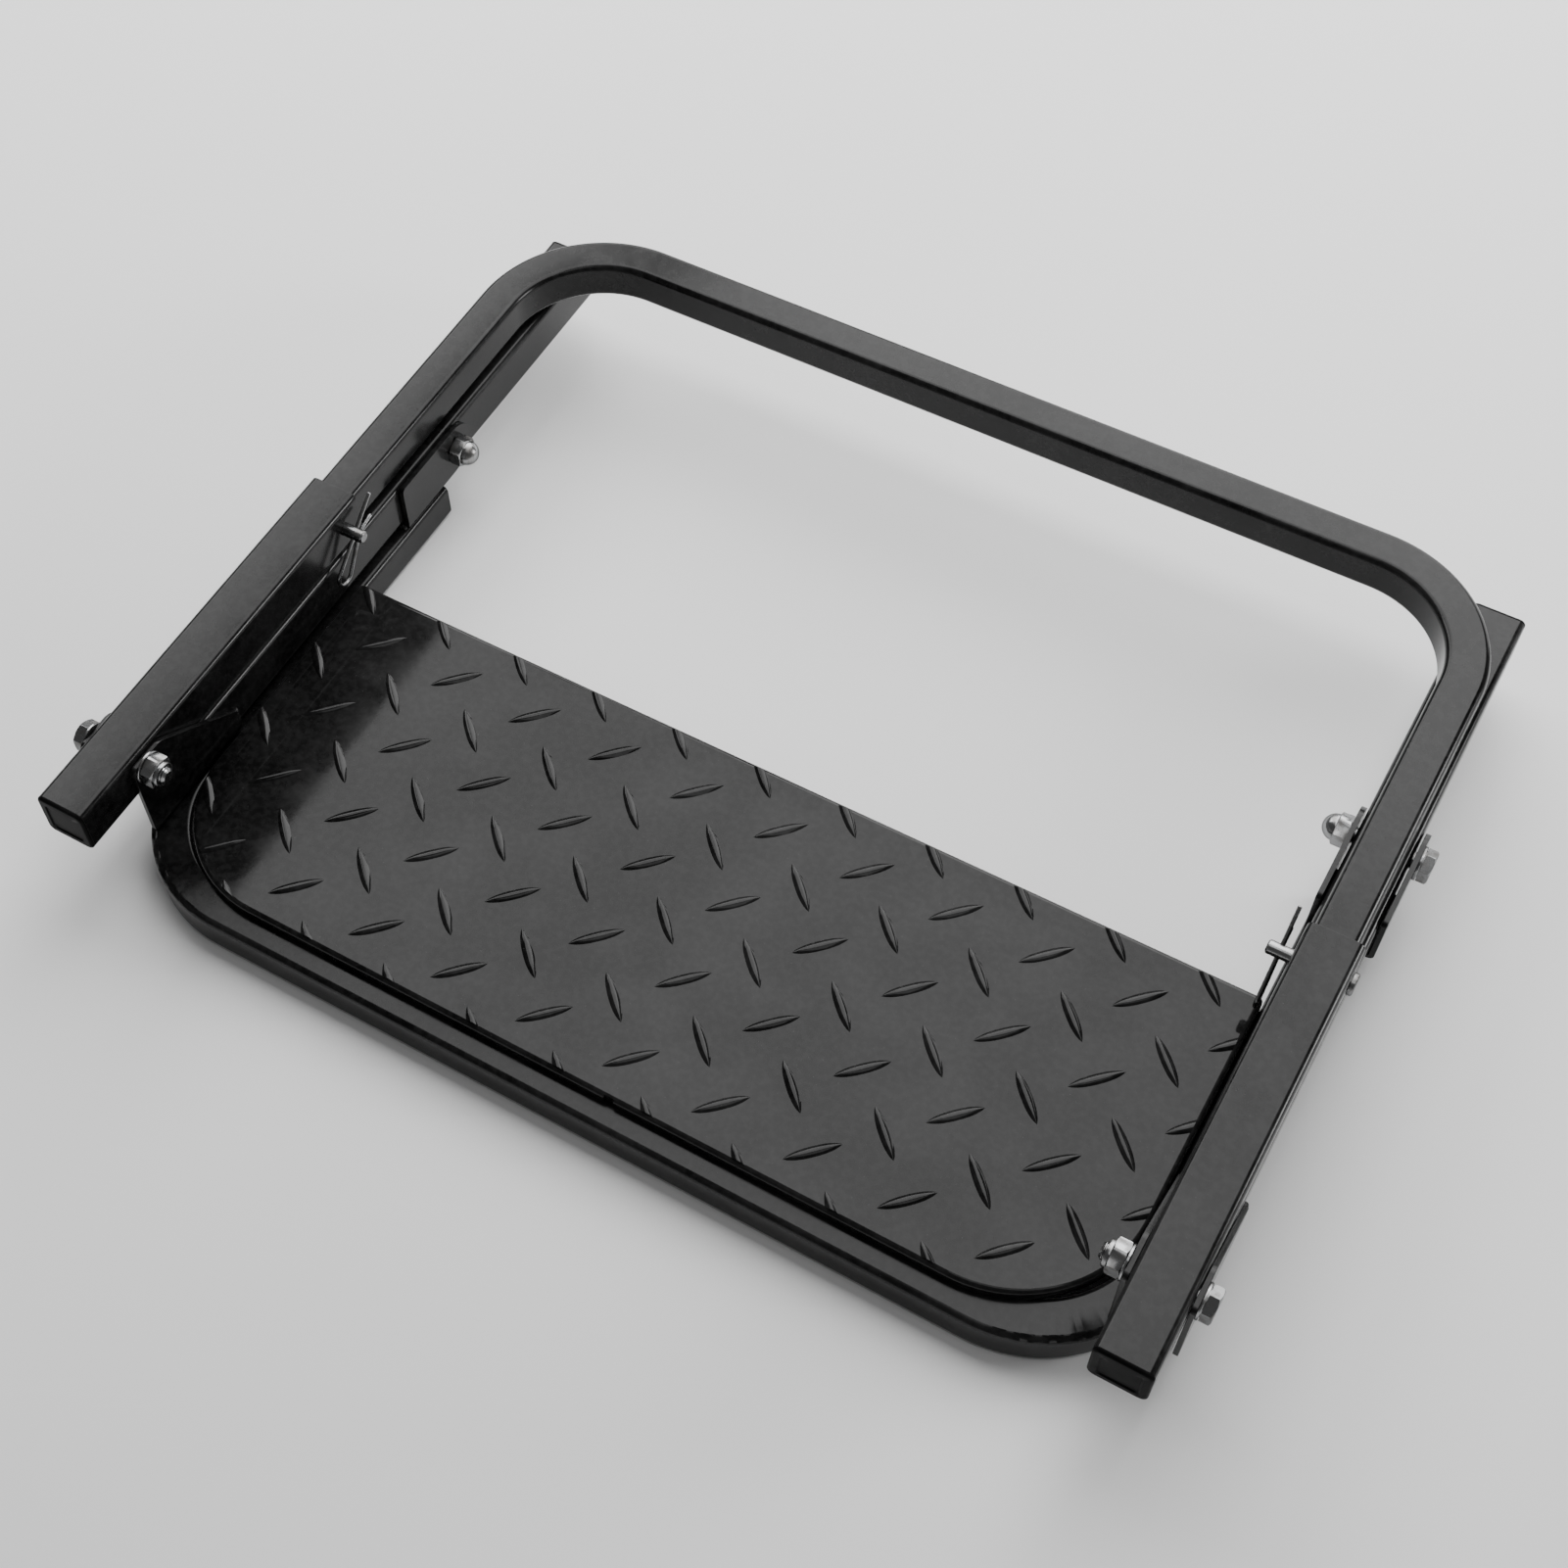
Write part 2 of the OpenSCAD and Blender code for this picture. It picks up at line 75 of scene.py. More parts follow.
END_REACH = 30 * MM
CAP_PLAY = 0.15
SMOOTH_BAND = {"interpolation_type": "SMOOTHSTEP"}


class Body(Enum):
    """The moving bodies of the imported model."""

    DECK = "deck"
    LEGS = "legs"
    ARMS = "arms"
    HOOK = "hook"


class Slot(Enum):
    """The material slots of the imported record."""

    TUBE = "black_tube_paint"
    TREAD = "black_tread_paint"
    ZINC = "zinc_fastener"
    CAP = "end_cap_plastic"


class Side(Enum):
    """The two sides of the step, seen from its front edge."""

    LEFT = -1
    RIGHT = 1

    @property
    def label(self) -> str:
        """The side's name in lower case."""
        return self.name.lower()

    @property
    def out(self) -> Vector:
        """The direction away from the middle of the step."""
        return X_AXIS * self.value


class Flank(Enum):
    """The two flanks of a leg."""

    INNER = "inner"
    OUTER = "outer"


class Pick(Enum):
    """What an edit selects: vertices, edges or faces."""

    POINT = (True, False, False)
    EDGE = (False, True, False)
    FACE = (False, False, True)


class Outline(Enum):
    """The cross-section that a piece is drawn out from."""

    ROUND = "round"
    HEX = "hex"
    SQUARE = "square"


def mm(*values: float) -> Vector:
    """A place or a size in metres, from millimetres."""
    return Vector(values) * MM


def drop_selection() -> None:
    """Deselect every object."""
    bpy.ops.object.select_all(action="DESELECT")


def span(node: str) -> tuple[float, float]:
    """A node's least and greatest distance from the middle of the step."""
    near, far = sorted(abs(corner.x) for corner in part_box(node))
    return near, far


def anything(*_: Vector) -> bool:
    """A test that picks all there is."""
    return True


def across(y: float, z: float) -> Callable[[Vector, Vector], bool]:
    """A test for the edges along X at one corner of a plate."""
    return lambda a, b: all(math.hypot(p.y - y, p.z - z) < 2 * TOUCH for p in (a, b))


class Workpiece:
    """One mesh on the bench, shaped in edit mode and finished with modifiers.

    Attributes:
        obj: The Blender object that holds the mesh.
    """

    def __init__(self, name: str, obj: bpy.types.Object) -> None:
        """Take up an object.

        Args:
            name: The piece's name.
            obj: The object, with its mesh.
        """
        obj.name = name
        obj.data.name = name
        self.obj = obj

    @property
    def name(self) -> str:
        """The piece's name."""
        return self.obj.name

    @classmethod
    def fresh(cls, name: str, scale: Sequence[float] = (1, 1, 1)) -> Workpiece:
        """Take up the primitive that was added last.

        Args:
            name: The piece's name.
            scale: How much larger it gets.

        Returns:
            The piece, its place and size in its mesh.
        """
        piece = cls(name, bpy.context.active_object)
        piece.obj.scale = scale
        return piece.settle()

    @classmethod
    def block(cls, name: str, low: Vector, high: Vector) -> Workpiece:
        """A block between two corners.

        Args:
            name: The piece's name.
            low: The lowest corner.
            high: The highest corner.

        Returns:
            The block.
        """
        drop_selection()
        bpy.ops.mesh.primitive_cube_add(size=1.0, location=(low + high) / 2)
        return cls.fresh(name, high - low)

    @classmethod
    def panel(cls, name: str, low: Vector, high: Vector) -> Workpiece:
        """A flat face in the XY plane, at the height of its low corner.

        Args:
            name: The piece's name.
            low: The corner with the least X and Y.
            high: The corner with the greatest X and Y.

        Returns:
            The face.
        """
        drop_selection()
        middle = (low + high) / 2
        bpy.ops.mesh.primitive_plane_add(size=1.0, location=(middle.x, middle.y, low.z))
        return cls.fresh(name, (high.x - low.x, high.y - low.y, 1))

    @classmethod
    def drawn(
        cls,
        name: str,
        outline: Outline,
        rings: Sequence[tuple[float, float]],
        corner: float = 4.0,
        sides: int = 48,
    ) -> Workpiece:
        """A solid drawn out along Z, ring by ring.

        Args:
            name: The piece's name.
            outline: Its cross-section.
            rings: The half width and the height of each ring in millimetres, in order.
            corner: The corner radius of a square section, in millimetres.
            sides: The number of sides of a round section.

        Returns:
            The closed solid, about the Z axis.
        """
        drop_selection()
        half, height = rings[0]
        if outline is Outline.SQUARE:
            bpy.ops.mesh.primitive_plane_add(size=2 * half * MM, location=(0, 0, height * MM))
        else:
            count = 6 if outline is Outline.HEX else sides
            bpy.ops.mesh.primitive_circle_add(
                vertices=count, radius=half * MM, fill_type="NGON", location=(0, 0, height * MM)
            )
        piece = cls.fresh(name)
        if outline is Outline.SQUARE:
            piece.round_points(anything, corner * MM, CORNER_STEPS)
        with piece.editing(Pick.FACE, anything):
            for next_half, next_height in rings[1:]:
                rise = (0, 0, (next_height - height) * MM)
                bpy.ops.mesh.extrude_region_move(TRANSFORM_OT_translate={"value": rise})
                grow = next_half / half
                bpy.ops.transform.resize(
                    value=(grow, grow, 1), center_override=(0, 0, next_height * MM)
                )
                half, height = next_half, next_height
        return piece.face_out()

    def take_up(self) -> None:
        """Select this piece alone and make it active."""
        drop_selection()
        self.obj.select_set(True)
        bpy.context.view_layer.objects.active = self.obj

    def settle(self) -> Workpiece:
        """Put the object's place, turn and size into its mesh.

        Returns:
            This piece.
        """
        self.take_up()
        bpy.ops.object.transform_apply(location=True, rotation=True, scale=True)
        return self

    def aim(self, at: Vector, along: Vector) -> Workpiece:
        """Turn the piece's Z axis to a level or upright direction, and move it to a place.

        Args:
            at: Where the origin goes.
            along: The direction that the Z axis takes, in the XY plane or straight up.

        Returns:
            This piece.
        """
        beside = Y_AXIS if abs(along.z) > 0.5 else Z_AXIS
        turn = Matrix((beside.cross(along), beside, along)).transposed().to_4x4()
        self.obj.matrix_world = Matrix.Translation(at) @ turn
        return self.settle()

    @contextmanager
    def editing(self, pick: Pick, test: Callable[..., bool]) -> Iterator[int]:
        """Open the piece in edit mode with a part of it selected.

        Args:
            pick: What is selected.
            test: Says whether to select. It gets a point, an edge's two ends, or a face's centre
                and normal.

        Yields:
            The number of selected items.
        """
        self.take_up()
        mesh = self.obj.data
        for items in (mesh.vertices, mesh.edges, mesh.polygons):
            items.foreach_set("select", [False] * len(items))
        chosen = 0
        if pick is Pick.POINT:
            for point in mesh.vertices:
                point.select = test(point.co)
                chosen += point.select
        elif pick is Pick.EDGE:
            for edge in mesh.edges:
                start, end = (mesh.vertices[i].co for i in edge.vertices)
                edge.select = test(start, end)
                chosen += edge.select
        else:
            for face in mesh.polygons:
                face.select = test(face.center, face.normal)
                chosen += face.select
        bpy.context.tool_settings.mesh_select_mode = pick.value
        bpy.ops.object.mode_set(mode="EDIT")
        try:
            yield chosen
        finally:
            bpy.ops.object.mode_set(mode="OBJECT")

    def edit(
        self,
        pick: Pick,
        test: Callable[..., bool],
        operator: Callable[..., object],
        **settings: object,
    ) -> Workpiece:
        """Run one edit mode operator on a part of the piece, if it has such a part.

        Args:
            pick: What is selected.
            test: Says whether to select, as in editing.
            operator: The operator.
            **settings: Its properties.

        Returns:
            This piece.
        """
        with self.editing(pick, test) as chosen:
            if chosen:
                operator(**settings)
        return self

    def round_points(self, test: Callable[[Vector], bool], radius: float, steps: int) -> Workpiece:
        """Round the chosen corners of a flat face."""
        how = {"affect": "VERTICES", "offset": radius, "segments": steps, "profile": 0.5}
        return self.edit(Pick.POINT, test, bpy.ops.mesh.bevel, **how)

    def round_edges(
        self, test: Callable[[Vector, Vector], bool], offset: float, steps: int
    ) -> Workpiece:
        """Round the chosen edges, as far in as the offset."""
        how = {"affect": "EDGES", "offset": offset, "segments": steps, "profile": 0.5}
        return self.edit(Pick.EDGE, test, bpy.ops.mesh.bevel, **how)

    def draw_edges(self, test: Callable[[Vector, Vector], bool], by: Vector) -> Workpiece:
        """Draw the chosen edges out into new faces."""
        draw = bpy.ops.mesh.extrude_region_move
        return self.edit(Pick.EDGE, test, draw, TRANSFORM_OT_translate={"value": by})

    def trim(self, at: Vector, away: Vector) -> Workpiece:
        """Cut off what lies beyond a plane, on the side that away points to, and close the cut."""
        how = {"plane_co": at, "plane_no": away, "use_fill": True, "clear_outer": True}
        return self.edit(Pick.FACE, anything, bpy.ops.mesh.bisect, **how)

    def merge(self, reach: float = 0.002 * MM) -> Workpiece:
        """Merge points that lie on each other."""
        return self.edit(Pick.POINT, anything, bpy.ops.mesh.remove_doubles, threshold=reach)

    def fill(self) -> Workpiece:
        """Close every hole with a face."""
        return self.edit(Pick.FACE, anything, bpy.ops.mesh.fill_holes, sides=0)

    def face_out(self) -> Workpiece:
        """Turn every face of a closed solid outwards."""
        turn = bpy.ops.mesh.normals_make_consistent
        return self.edit(Pick.FACE, anything, turn, inside=False)

    def face_towards(self, test: Callable[[Vector, Vector], bool], way: Vector) -> Workpiece:
        """Turn an open sheet so that one of its faces looks a given way.

        Args:
            test: Picks that face by its centre and normal.
            way: The direction it looks in.

        Returns:
            This piece.
        """
        self.face_out()
        witness = next(f for f in self.obj.data.polygons if test(f.center, f.normal))
        if witness.normal.dot(way) < 0:
            self.edit(Pick.FACE, anything, bpy.ops.mesh.flip_normals)
        return self

    def apply(self, kind: str, **settings: object) -> Workpiece:
        """Add a modifier and apply it.

        Args:
            kind: The modifier's type.
            **settings: Its properties.

        Returns:
            This piece.
        """
        self.take_up()
        modifier = self.obj.modifiers.new(kind.lower(), kind)
        for key, value in settings.items():
            setattr(modifier, key, value)
        bpy.ops.object.modifier_apply(modifier=modifier.name)
        return self

    def thicken(self, wall: float) -> Workpiece:
        """Give a sheet its wall, in millimetres, on its inner side."""
        return self.apply("SOLIDIFY", thickness=wall * MM, offset=-1.0, use_even_offset=True)

    def soften(self, width: float, angle: float = 50.0, steps: int = 2) -> Workpiece:
        """Break every sharp edge.

        Args:
            width: The width of the broken edge, in millimetres.
            angle: The least angle that counts as sharp, in degrees.
            steps: The number of segments of a broken edge.

        Returns:
            This piece.
        """
        return self.apply(
            "BEVEL",
            width=width * MM,
            segments=steps,
            limit_method="ANGLE",
            angle_limit=math.radians(angle),
            use_clamp_overlap=True,
        )

    def combine(self, tool: Workpiece, operation: str = "DIFFERENCE") -> Workpiece:
        """Cut this piece with another, which is used up.

        Args:
            tool: The other piece.
            operation: DIFFERENCE, INTERSECT or UNION.

        Returns:
            This piece.
        """
        self.apply("BOOLEAN", operation=operation, object=tool.obj, solver="EXACT")
        bpy.data.objects.remove(tool.obj)
        return self.put_in_order()

    def put_in_order(self) -> Workpiece:
        """Sort the points and faces by place, because a cut leaves them in a new order each run.

        Returns:
            This piece.
        """
        mesh = self.obj.data
        order = sorted(range(len(mesh.vertices)), key=lambda i: tuple(mesh.vertices[i].co))
        rank = {old: new for new, old in enumerate(order)}
        faces = []
        for face in mesh.polygons:
            ring = [rank[i] for i in face.vertices]
            first = ring.index(min(ring))
            faces.append(ring[first:] + ring[:first])
        points = [mesh.vertices[i].co.copy() for i in order]
        mesh.clear_geometry()
        mesh.from_pydata(points, [], sorted(faces))
        return self

    def bore(self, at: Vector, along: Vector, radius: float, reach: float = 30.0) -> Workpiece:
        """Drill a round hole.

        Args:
            at: A point on the hole's axis.
            along: The axis, in the XY plane.
            radius: The hole's radius in millimetres.
            reach: How far the drill goes to both sides of the point, in millimetres.

        Returns:
            This piece.
        """
        rings = [(radius, -reach), (radius, reach)]
        drill = Workpiece.drawn("drill", Outline.ROUND, rings, sides=BORE_SIDES)
        return self.combine(drill.aim(at, along))

    def join(self, others: Sequence[Workpiece]) -> Workpiece:
        """Take other pieces into this one.

        Args:
            others: The pieces to take in.

        Returns:
            This piece.
        """
        self.take_up()
        for other in others:
            other.obj.select_set(True)
        bpy.ops.object.join()
        return self

    def copied(self, name: str, place: Matrix) -> Workpiece:
        """A copy with its own mesh, at another place.

        Args:
            name: The copy's name.
            place: Its place and turn.

        Returns:
            The copy, its place still on its object.
        """
        twin = self.obj.copy()
        twin.data = self.obj.data.copy()
        bpy.context.scene.collection.objects.link(twin)
        twin.matrix_world = place @ self.obj.matrix_world
        return Workpiece(name, twin)

    def smooth(self, angle: float = 32.0) -> Workpiece:
        """Shade the piece smooth, apart from its sharp edges, and keep its large faces flat.

        Args:
            angle: The least angle that stays sharp, in degrees.

        Returns:
            This piece.
        """
        self.take_up()
        bpy.ops.object.shade_smooth_by_angle(angle=math.radians(angle))
        return self.apply("WEIGHTED_NORMAL", mode="FACE_AREA", weight=50, keep_sharp=True)


class TubeRun(Workpiece):
    """A tube or wire drawn along straight runs and bends in one plane.

    Attributes:
        at: The middle of the tube's open end.
        heading: The direction in which it goes on.
        about: The axis of its bends.
    """

    at: Vector
    heading: Vector
    about: Vector

    @classmethod
    def begin(
        cls, name: str, side: float, corner: float, at: Vector, heading: Vector, about: Vector
    ) -> TubeRun:
        """Set out the section of a tube.

        Args:
            name: The piece's name.
            side: The side of a square section or the diameter of a round one, in millimetres.
            corner: The corner radius in millimetres, or 0 for a round section.
            at: The middle of its first end.
            heading: The direction of its first run.
            about: The axis of its bends.

        Returns:
            The tube's first ring.
        """
        drop_selection()
        if corner:
            bpy.ops.mesh.primitive_plane_add(size=side * MM)
        else:
            bpy.ops.mesh.primitive_circle_add(vertices=WIRE_SIDES, radius=side * MM / 2)
        piece = cls.fresh(name)
        piece.at, piece.heading, piece.about = at.copy(), heading.copy(), about.copy()
        if corner:
            piece.round_points(anything, corner * MM, CORNER_STEPS)
            piece.edit(Pick.FACE, anything, bpy.ops.mesh.delete, type="ONLY_FACE")
        turn = Matrix((about, heading.cross(about), heading)).transposed().to_4x4()
        piece.obj.matrix_world = Matrix.Translation(at) @ turn
        piece.settle()
        return piece

    def at_open_end(self, start: Vector, end: Vector) -> bool:
        """Whether an edge lies in the tube's open end, and not in another end in its plane."""
        flush = all(abs((p - self.at).dot(self.heading)) < TOUCH / 10 for p in (start, end))
        return flush and ((start + end) / 2 - self.at).length < END_REACH

    def straight(self, length: float) -> TubeRun:
        """Draw a straight run.

        Args:
            length: Its length in metres.

        Returns:
            This tube.
        """
        step = self.heading * length
        self.draw_edges(self.at_open_end, step)
        self.at = self.at + step
        return self

    def bend(self, radius: float, angle: float, steps: int = BEND_STEPS) -> TubeRun:
        """Draw a bend.

        Args:
            radius: The radius of the tube's middle line in metres.
            angle: How far the tube turns, in degrees, counter-clockwise about its axis.
            steps: The number of rings in the bend.

        Returns:
            This tube.
        """
        way = math.copysign(1.0, angle)
        middle = self.at + self.about.cross(self.heading) * radius * way
        turn = math.radians(angle)
        how = {"steps": steps, "angle": -turn, "center": middle, "axis": self.about}
        self.edit(Pick.EDGE, self.at_open_end, bpy.ops.mesh.spin, **how)
        rotation = Quaternion(self.about, turn)
        self.at = middle + rotation @ (self.at - middle)
        self.heading = (rotation @ self.heading).normalized()
        return self


@dataclass(frozen=True)
class TubeStock:
    """Square steel tube, to be cut and bent.

    Attributes:
        side: The side of its section.
        wall: The thickness of its wall.
        edge: The width of its broken edges.
        corner: The radius of its corners.
        bend: The outside radius of a bend.
    """

    side: float
    wall: float
    edge: float
    corner: float = 4.0
    bend: float = 85.0

    @property
    def plug_half(self) -> float:
        """Half the side of a plug that fits into the tube."""
        return self.side / 2 - self.wall - CAP_PLAY

    def begin(self, name: str, at: Vector, heading: Vector) -> TubeRun:
        """Set out a tube that bends in the XY plane."""
        return TubeRun.begin(name, self.side, self.corner, at, heading, Z_AXIS)

    def cut(self, name: str, node: str, heading: Vector) -> Workpiece:
        """Cut a straight tube as long as a node.

        Args:
            name: The tube's name.
            node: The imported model's node.
            heading: Its direction, along X or Y.

        Returns:
            The tube with its wall.
        """
        low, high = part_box(node)
        length = (high - low).dot(heading)
        tube = self.begin(name, (low + high - heading * length) / 2, heading)
        tube.straight(length).merge().face_out()
        return tube.thicken(self.wall)

    def bow(self, name: str, node: str, heading: Vector, angle: float) -> Workpiece:
        """Bend a tube into two arms and a crosspiece, round the box of a node.

        Args:
            name: The tube's name.
            node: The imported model's node.
            heading: The direction of its first arm, along Y.
            angle: How far each of its two bends turns, in degrees.

        Returns:
            The tube, still without its wall.
        """
        low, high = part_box(node)
        half, bend = self.side / 2 * MM, self.bend * MM
        end_y = high.y if heading.y < 0 else low.y
        tube = self.begin(name, Vector((low.x + half, end_y, (low.z + high.z) / 2)), heading)
        arm = high.y - low.y - bend
        for run in (arm, high.x - low.x - 2 * bend):
            tube.straight(run).bend(bend - half, angle)
        return tube.straight(arm).merge().face_out()


class Value:
    """A shader value whose arithmetic adds Math nodes."""

    def __init__(self, board: NodeBoard, socket: bpy.types.NodeSocket) -> None:
        """Wrap an output socket of a board's node tree."""
        self.board = board
        self.socket = socket

    def _math(self, operation: str, first: object, second: object) -> Value:
        """The result of one Math node."""
        how = {"operation": operation}
        return Value(self.board, self.board.node("ShaderNodeMath", how, {0: first, 1: second})[0])

    def __add__(self, other: object) -> Value:
        """This value plus another."""
        return self._math("ADD", self, other)

    __radd__ = __add__

    def __sub__(self, other: object) -> Value:
        """This value less another."""
        return self._math("SUBTRACT", self, other)

    def __rsub__(self, other: object) -> Value:
        """Another value less this one."""
        return self._math("SUBTRACT", other, self)

    def __mul__(self, other: object) -> Value:
        """This value times another."""
        return self._math("MULTIPLY", self, other)

    __rmul__ = __mul__

    def band(self, low: float, high: float) -> Value:
        """How far this value lies between two limits, smoothly from 0 to 1."""
        values = {"Value": self, "From Min": low, "From Max": high}
        return Value(self.board, self.board.node("ShaderNodeMapRange", SMOOTH_BAND, values)[0])


@dataclass(frozen=True)
class Grain:
    """One layer of noise on the object's own coordinates.

    Attributes:
        scale: Its number of features to the metre.
        detail: Its number of finer layers.
        low: The noise that counts as 0.
        high: The noise that counts as 1, or 0 where the noise stays as it is.
    """

    scale: float
    detail: float
    low: float = 0.0
    high: float = 0.0


class NodeBoard:
    """The maker of a node tree."""

    def __init__(self, tree: bpy.types.NodeTree) -> None:
        """Clear a node tree, to build it anew."""
        self.tree = tree
        tree.nodes.clear()

    def node(
        self,
        kind: str,
        settings: dict[str, object] | None = None,
        values: dict[str | int, object] | None = None,
    ) -> bpy.types.NodeOutputs:
        """Add a node.

        Args:
            kind: The node's type.
            settings: Its properties, set first.
            values: The value or link of each socket.

        Returns:
            The node's outputs.
        """
        made = self.tree.nodes.new(kind)
        for key, value in (settings or {}).items():
            setattr(made, key, value)
        for key, value in (values or {}).items():
            source = value.socket if isinstance(value, Value) else value
            if isinstance(source, bpy.types.NodeSocket):
                self.tree.links.new(source, made.inputs[key])
            else:
                made.inputs[key].default_value = source
        return made.outputs


class FinishBoard(NodeBoard):
    """The maker of one material's node tree."""

    def __init__(self, name: str) -> None:
        """Start a material.

        Args:
            name: Its name.
        """
        self.material = bpy.data.materials.new(name)
        self.material.use_nodes = True
        super().__init__(self.material.node_tree)
        self.place = self.node("ShaderNodeTexCoord")["Object"]

    def noise(self, grain: Grain, stretch: Vector | None = None) -> Value:
        """Cloudy noise on the object's own coordinates.

        Args:
            grain: Its size, detail and limits.
            stretch: How the coordinates are scaled first.

        Returns:
            The noise.
        """
        place = self.place
        if stretch is not None:
            place = self.node("ShaderNodeMapping", None, {"Vector": place, "Scale": stretch})[0]
        values = {"Vector": place, "Scale": grain.scale, "Detail": grain.detail}
        noise = Value(self, self.node("ShaderNodeTexNoise", None, values)[0])
        return noise.band(grain.low, grain.high) if grain.high else noise

    def blend(self, share: object, first: object, second: object) -> bpy.types.NodeSocket:
        """A colour between two others, with a share of the second."""
        colours = {0: share, 6: first, 7: second}
        return self.node("ShaderNodeMix", {"data_type": "RGBA"}, colours)[2]

    def bump(self, height: Value, distance: float, strength: float) -> bpy.types.NodeSocket:
        """The normal of a surface that is raised by a height, in millimetres."""
        values = {"Height": height, "Distance": distance * MM, "Strength": strength}
        return self.node("ShaderNodeBump", None, values)[0]

    def surface(self, **sockets: object) -> bpy.types.Material:
        """Finish the material.

        Args:
            **sockets: The values and links of the surface, with _ for a space.

        Returns:
            The material.
        """
        values = {key.replace("_", " "): value for key, value in sockets.items()}
        shader = self.node("ShaderNodeBsdfPrincipled", None, values)[0]
        self.node("ShaderNodeOutputMaterial", None, {"Surface": shader})
        return self.material


def grey(level: float, warm: float = 0.0) -> tuple[float, float, float, float]:
    """A grey colour with its alpha, redder than bluer by its warmth."""
    return (level * (1 + warm), level, level * (1 - warm), 1.0)


@dataclass(frozen=True)
class BlackPaint:
    """Glossy black paint over steel.

    Attributes:
        name: The material's name.
        dark: The brightness of the paint.
        cloud: The brightness of its dusty clouds.
        speck: The brightness of its dust specks.
        speck_share: How much of that brightness shows.
        rough: Its least roughness.
        rough_span: How much rougher its clouds are.
        ripple: The depth of the paint's ripple, in millimetres.
        ior: The paint's index of refraction.
        clouds: The dust's middling clouds.
        patches: Its wide patches.
        fine: Its fine mottle.
        specks: Its specks.
        grain: The paint's fine ripple.
        swell: Its wide ripple.
    """

    name: str
    dark: float = 0.002
    cloud: float = 0.019
    speck: float = 0.09
    speck_share: float = 0.3
    rough: float = 0.15
    rough_span: float = 0.08
    ripple: float = 0.05
    ior: float = 1.3
    clouds: Grain = Grain(26.0, 5.0, 0.38, 0.68)
    patches: Grain = Grain(9.0, 3.0, 0.35, 0.7)
    fine: Grain = Grain(240.0, 4.0, 0.35, 0.7)
    specks: Grain = Grain(900.0, 1.0, 0.74, 0.8)
    grain: Grain = Grain(420.0, 2.0)
    swell: Grain = Grain(70.0, 1.0)

    def make(self) -> bpy.types.Material:
        """Build the material.

        Returns:
            The material.
        """
        board = FinishBoard(self.name)
        clouds = board.noise(self.clouds)
        dust = clouds * 0.35 + board.noise(self.patches) * 0.3 + board.noise(self.fine) * 0.35
        paint = board.blend(dust, grey(self.dark), grey(self.cloud))
        specks = board.noise(self.specks) * self.speck_share
        height = board.noise(self.grain) * 0.35 + board.noise(self.swell) * 0.65
        return board.surface(
            Base_Color=board.blend(specks, paint, grey(self.speck)),
            Roughness=clouds * self.rough_span + self.rough,
            IOR=self.ior,
            Normal=board.bump(height, self.ripple, 0.5),
        )


@dataclass(frozen=True)
class Zinc:
    """Bright zinc plate.

    Attributes:
        name: The material's name.
        bright: The brightness of the plating.
        dull: The share of that brightness in its stains.
        rough: Its least roughness.
        edge: The brightness of its reflection where it is seen edge-on.
        stains: Its stains.
        brush: Its brush marks.
        along: How the brush marks are drawn out along X.
    """

    name: str
    bright: float = 0.33
    dull: float = 0.6
    rough: float = 0.16
    edge: float = 0.25
    stains: Grain = Grain(160.0, 4.0, 0.4, 0.72)
    brush: Grain = Grain(500.0, 3.0)
    along: tuple[float, float, float] = (0.25, 1.0, 1.0)

    def make(self) -> bpy.types.Material:
        """Build the material.

        Returns:
            The material.
        """
        board = FinishBoard(self.name)
        stain = board.noise(self.stains)
        brush = board.noise(self.brush, Vector(self.along))
        clean, stained = grey(self.bright, -0.01), grey(self.bright * self.dull, 0.03)
        return board.surface(
            Base_Color=board.blend(stain, clean, stained),
            Metallic=1.0,
            Specular_Tint=grey(self.edge),
            Roughness=stain * 0.16 + brush * 0.1 + self.rough,
            Normal=board.bump(brush, 0.02, 0.4),
        )


@dataclass(frozen=True)
class CapPlastic:
    """Black moulded plastic.

    Attributes:
        name: The material's name.
        dark: Its brightness.
        worn: How many times brighter its scuffs are.
        rough: Its least roughness.
        ior: Its index of refraction.
        scuffs: Its scuffs.
        grain: The grain of the mould.
    """

    name: str
    dark: float = 0.004
    worn: float = 2.2
    rough: float = 0.3
    ior: float = 1.08
    scuffs: Grain = Grain(60.0, 4.0, 0.5, 0.8)
    grain: Grain = Grain(1400.0, 2.0)

    def make(self) -> bpy.types.Material:
        """Build the material.

        Returns:
            The material.
        """
        board = FinishBoard(self.name)
        scuff = board.noise(self.scuffs)
        grain = board.noise(self.grain)
        return board.surface(
            Base_Color=board.blend(scuff, grey(self.dark), grey(self.dark * self.worn)),
            Roughness=scuff * 0.14 + grain * 0.06 + self.rough,
            IOR=self.ior,
            Normal=board.bump(grain, 0.03, 0.6),
        )


def make_finishes() -> dict[Slot, bpy.types.Material]:
    """Build the material of each slot.

    Returns:
        The materials by slot.
    """
    smoother = {"rough": 0.04, "rough_span": 0.03, "ripple": 0.008}
    return {
        Slot.TUBE: BlackPaint("black_tube_paint").make(),
        Slot.TREAD: BlackPaint("black_tread_paint", **smoother).make(),
        Slot.ZINC: Zinc("zinc_plate").make(),
        Slot.CAP: CapPlastic("cap_plastic").make(),
    }


